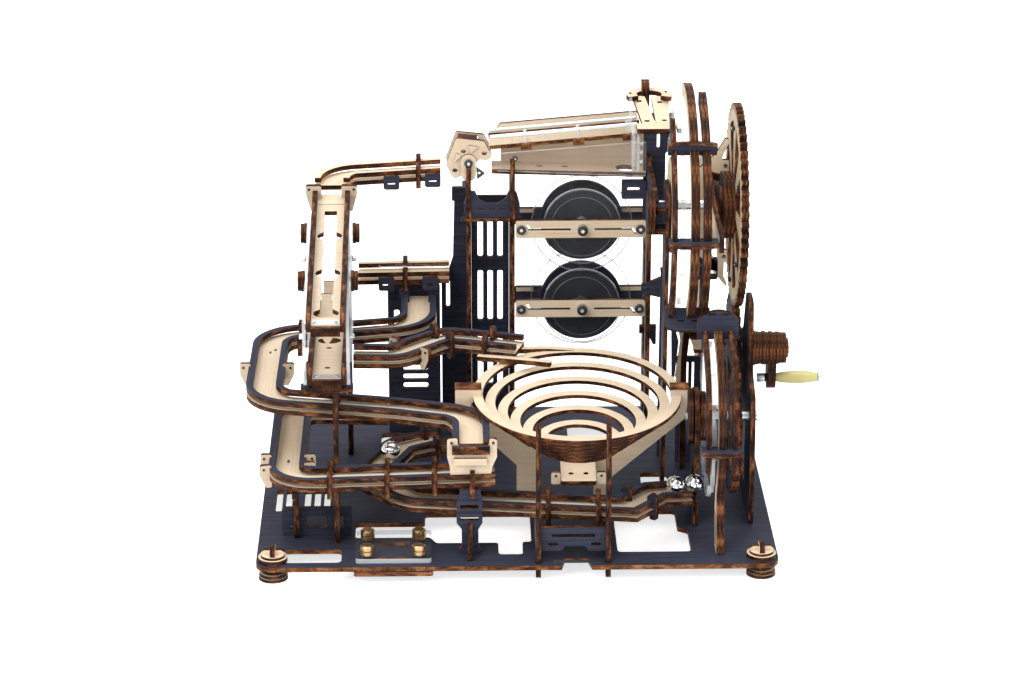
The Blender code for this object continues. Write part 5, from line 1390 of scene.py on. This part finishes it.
def make_funnel_supports():
    ribs = []
    for low in CENTRE_RIB_X:
        spot, _ = station(LOWER_FRONT, distance_where(LOWER_FRONT, lambda x, y: x > low and y < -80.0))
        ribs.append(slab(eased(centre_rib_outline(1.5, spot.z - 0.5), 1.2), low, low + SHEET, "yz",
                         look="navy"))
    left, right = (x + SHEET / 2 for x in CENTRE_RIB_X)
    z = BASE_TOP + 6.0
    front = span("base_plate")[0][1] + 7.5
    plate = [(left, z), (26.0, z), (28.0, z + SHEET), (40.0, z + SHEET), (42.0, z), (right, z),
             (right, z + 15.0), (left, z + 15.0)]
    slots = [rect(20.0, z + 9.0, 46.0, z + 11.0, 0.8), rect(18.0, z + 3.4, 24.0, z + 5.4, 0.8),
             rect(43.5, z + 3.4, 49.5, z + 5.4, 0.8)]
    piece("centre_support", *ribs, slab(plate, front, front + SHEET, "xz", slots, look="navy"),
          replaces=("centre_support",))
    run = 52.0 - 44.5
    rise = math.atan2(run, -52.4 + 85.0)
    matrix = Matrix.Translation((0.0, -85.0, 44.5)) @ Matrix.Rotation(rise, 4, "X")
    floor = slab(rect(27.0, 0.0, 48.0, 33.0, 1.0), 0.0, SHEET, holes=[
        ellipse((33.0, 8.0), 1.6, 1.2), ellipse((42.0, 8.0), 1.6, 1.2)], look="birch_dark")
    piece("funnel_chute", floor.moved(matrix), replaces=("funnel_chute",))
    sides_x = (21.0, 48.4)
    ears = [slab(rect(x, 44.0, x + 5.6, 51.5, 1.2), -82.0, -79.6, "xz", look="birch_dark") for x in sides_x]
    ears += [rod("y", (x + 2.8, 49.4), 0.8, -82.5, -81.9, "black", 12) for x in sides_x]
    piece("funnel_chute_ears", *ears)
    blocks = [slab(eased([(93.7, 88.5), (93.7, 93.2), (104.5, 93.2), (104.7, 76.0), (99.8, 76.0),
                          (99.8, 88.5)], 0.8), -53.6, -52.1, "xz", look="birch_dark"),
              slab(eased([(-36.2, 83.6), (-36.2, 94.2), (-20.5, 94.2), (-20.5, 86.1), (-26.0, 86.1),
                          (-27.0, 83.0)], 0.8), -53.6, -52.1, "xz", look="birch_dark"),
              block((93.6, -54.0, 93.3), (104.8, -45.0, 94.6), "amber"),
              block((-36.4, -54.0, 94.3), (-20.3, -45.0, 95.6), "amber")]
    piece("funnel_blocks", *blocks)
    z = BASE_TOP
    stand = [(1.0, z), (14.0, z), (14.0, 52.0), (48.0, 52.0), (48.0, z), (59.0, z), (59.0, 36.0),
             (105.5, 76.0), (105.5, 94.0), (100.9, 94.0), (100.9, 82.0), (66.0, 56.0), (8.0, 56.0),
             (-25.8, 82.0), (-25.8, 94.0), (-36.0, 94.0), (-36.0, 80.0), (1.0, 44.0)]
    sheet_piece("funnel_stand", eased(stand, 2.0), "xz", look="birch_dark")


def make_balls():
    for name, body in (("ball_left", "marble_left"), ("ball_queue_1", "marble_queue_1"),
                       ("ball_queue_2", "marble_queue_2")):
        low, high = span(name)
        centre = tuple((low[axis] + high[axis]) / 2 for axis in range(3))
        piece(name, ball_shape(centre, (high[2] - low[2]) / 2), body=body, replaces=(name,))


FLOOR_HALF_WIDE = 6.0
WORLD_LIGHT = 0.5
WHITE = (1.0, 1.0, 1.0, 1.0)
FLOOR_GLOW = 0.7
LAMPS = (("key", (-1.2, -1.3, 1.7), 1.6, 38.0), ("fill", (1.5, -1.1, 1.2), 1.8, 16.0),
         ("top", (0.0, 0.3, 2.2), 2.2, 34.0))


def background_rays(tree):
    """The socket that is 1 for what the camera, a gloss or a clear sheet shows."""
    path = tree.nodes.new("ShaderNodeLightPath")
    reached = path.outputs["Is Camera Ray"]
    for kind in ("Is Transmission Ray", "Is Glossy Ray"):
        most = tree.nodes.new("ShaderNodeMath")
        most.operation = "MAXIMUM"
        tree.links.new(reached, most.inputs[0])
        tree.links.new(path.outputs[kind], most.inputs[1])
        reached = most.outputs["Value"]
    return reached


def make_world():
    """A soft world light that shows as plain white."""
    world = bpy.data.worlds.new("studio")
    bpy.context.scene.world = world
    world.use_nodes = True
    tree = world.node_tree
    lit = tree.nodes["Background"]
    lit.inputs["Color"].default_value = WHITE
    lit.inputs["Strength"].default_value = WORLD_LIGHT
    seen = tree.nodes.new("ShaderNodeBackground")
    seen.inputs["Color"].default_value = WHITE
    seen.inputs["Strength"].default_value = 1.0
    mix = tree.nodes.new("ShaderNodeMixShader")
    tree.links.new(background_rays(tree), mix.inputs["Fac"])
    tree.links.new(lit.outputs["Background"], mix.inputs[1])
    tree.links.new(seen.outputs["Background"], mix.inputs[2])
    tree.links.new(mix.outputs["Shader"], tree.nodes["World Output"].inputs["Surface"])


def make_floor():
    """A pale floor that keeps the shadow and fades into the background."""
    mesh = bpy.data.meshes.new("floor")
    corners = rect(-FLOOR_HALF_WIDE, -FLOOR_HALF_WIDE, FLOOR_HALF_WIDE, FLOOR_HALF_WIDE)
    mesh.from_pydata([(x, y, 0.0) for x, y in corners], [], [(0, 1, 2, 3)])
    floor = bpy.data.objects.new("floor", mesh)
    bpy.context.scene.collection.objects.link(floor)
    pale = bpy.data.materials.new("floor_pale")
    pale.use_nodes = True
    tree = pale.node_tree
    shader = tree.nodes["Principled BSDF"]
    shader.inputs["Base Color"].default_value = (0.93, 0.93, 0.93, 1.0)
    shader.inputs["Roughness"].default_value = 0.9
    shader.inputs["Emission Color"].default_value = WHITE
    glow = tree.nodes.new("ShaderNodeMath")
    glow.operation = "MULTIPLY"
    glow.inputs[1].default_value = FLOOR_GLOW
    tree.links.new(background_rays(tree), glow.inputs[0])
    tree.links.new(glow.outputs["Value"], shader.inputs["Emission Strength"])
    mesh.materials.append(pale)
    return floor


def make_lamp(name, place, size, power):
    """A square soft light that looks at the object."""
    light = bpy.data.lights.new(name, "AREA")
    light.shape = "SQUARE"
    light.size = size
    light.energy = power
    lamp = bpy.data.objects.new(name, light)
    bpy.context.scene.collection.objects.link(lamp)
    lamp.location = place
    toward = Vector((0.0, 0.0, 0.1)) - Vector(place)
    lamp.rotation_euler = toward.to_track_quat("-Z", "Y").to_euler()
    return lamp


def make_camera():
    """The camera at the photograph's viewing angle."""
    data = bpy.data.cameras.new("camera")
    data.sensor_width = 36.0
    data.lens = 117.09
    data.clip_end = 20.0
    camera = bpy.data.objects.new("camera", data)
    bpy.context.scene.collection.objects.link(camera)
    camera.location = (-0.05701, -1.91466, 0.82332)
    camera.rotation_mode = "XYZ"
    camera.rotation_euler = (math.radians(90.0 - 20.674), 0.0, math.radians(-1.219))
    bpy.context.scene.camera = camera


def make_stage():
    """A pale floor, soft studio light and the camera."""
    make_world()
    make_floor()
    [make_lamp(*lamp) for lamp in LAMPS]
    make_camera()
    bpy.context.scene.view_settings.view_transform = "Standard"


def build():
    """Every piece of the object, then the stage."""
    make_materials()
    for make in (make_base, make_feet, make_name_plate, make_left_supports, make_front_column,
                 make_tracks, make_tower, make_window, make_zigzag, make_zigzag_tongue,
                 make_zigzag_supports, make_chute, make_switch, make_maze, make_lift_post,
                 make_lift_head, make_cages, make_lift_wheels, make_grip, make_side_plates,
                 make_gear_brace, make_rear_posts, make_funnel, make_funnel_supports, make_balls,
                 make_stage):
        make()


build()
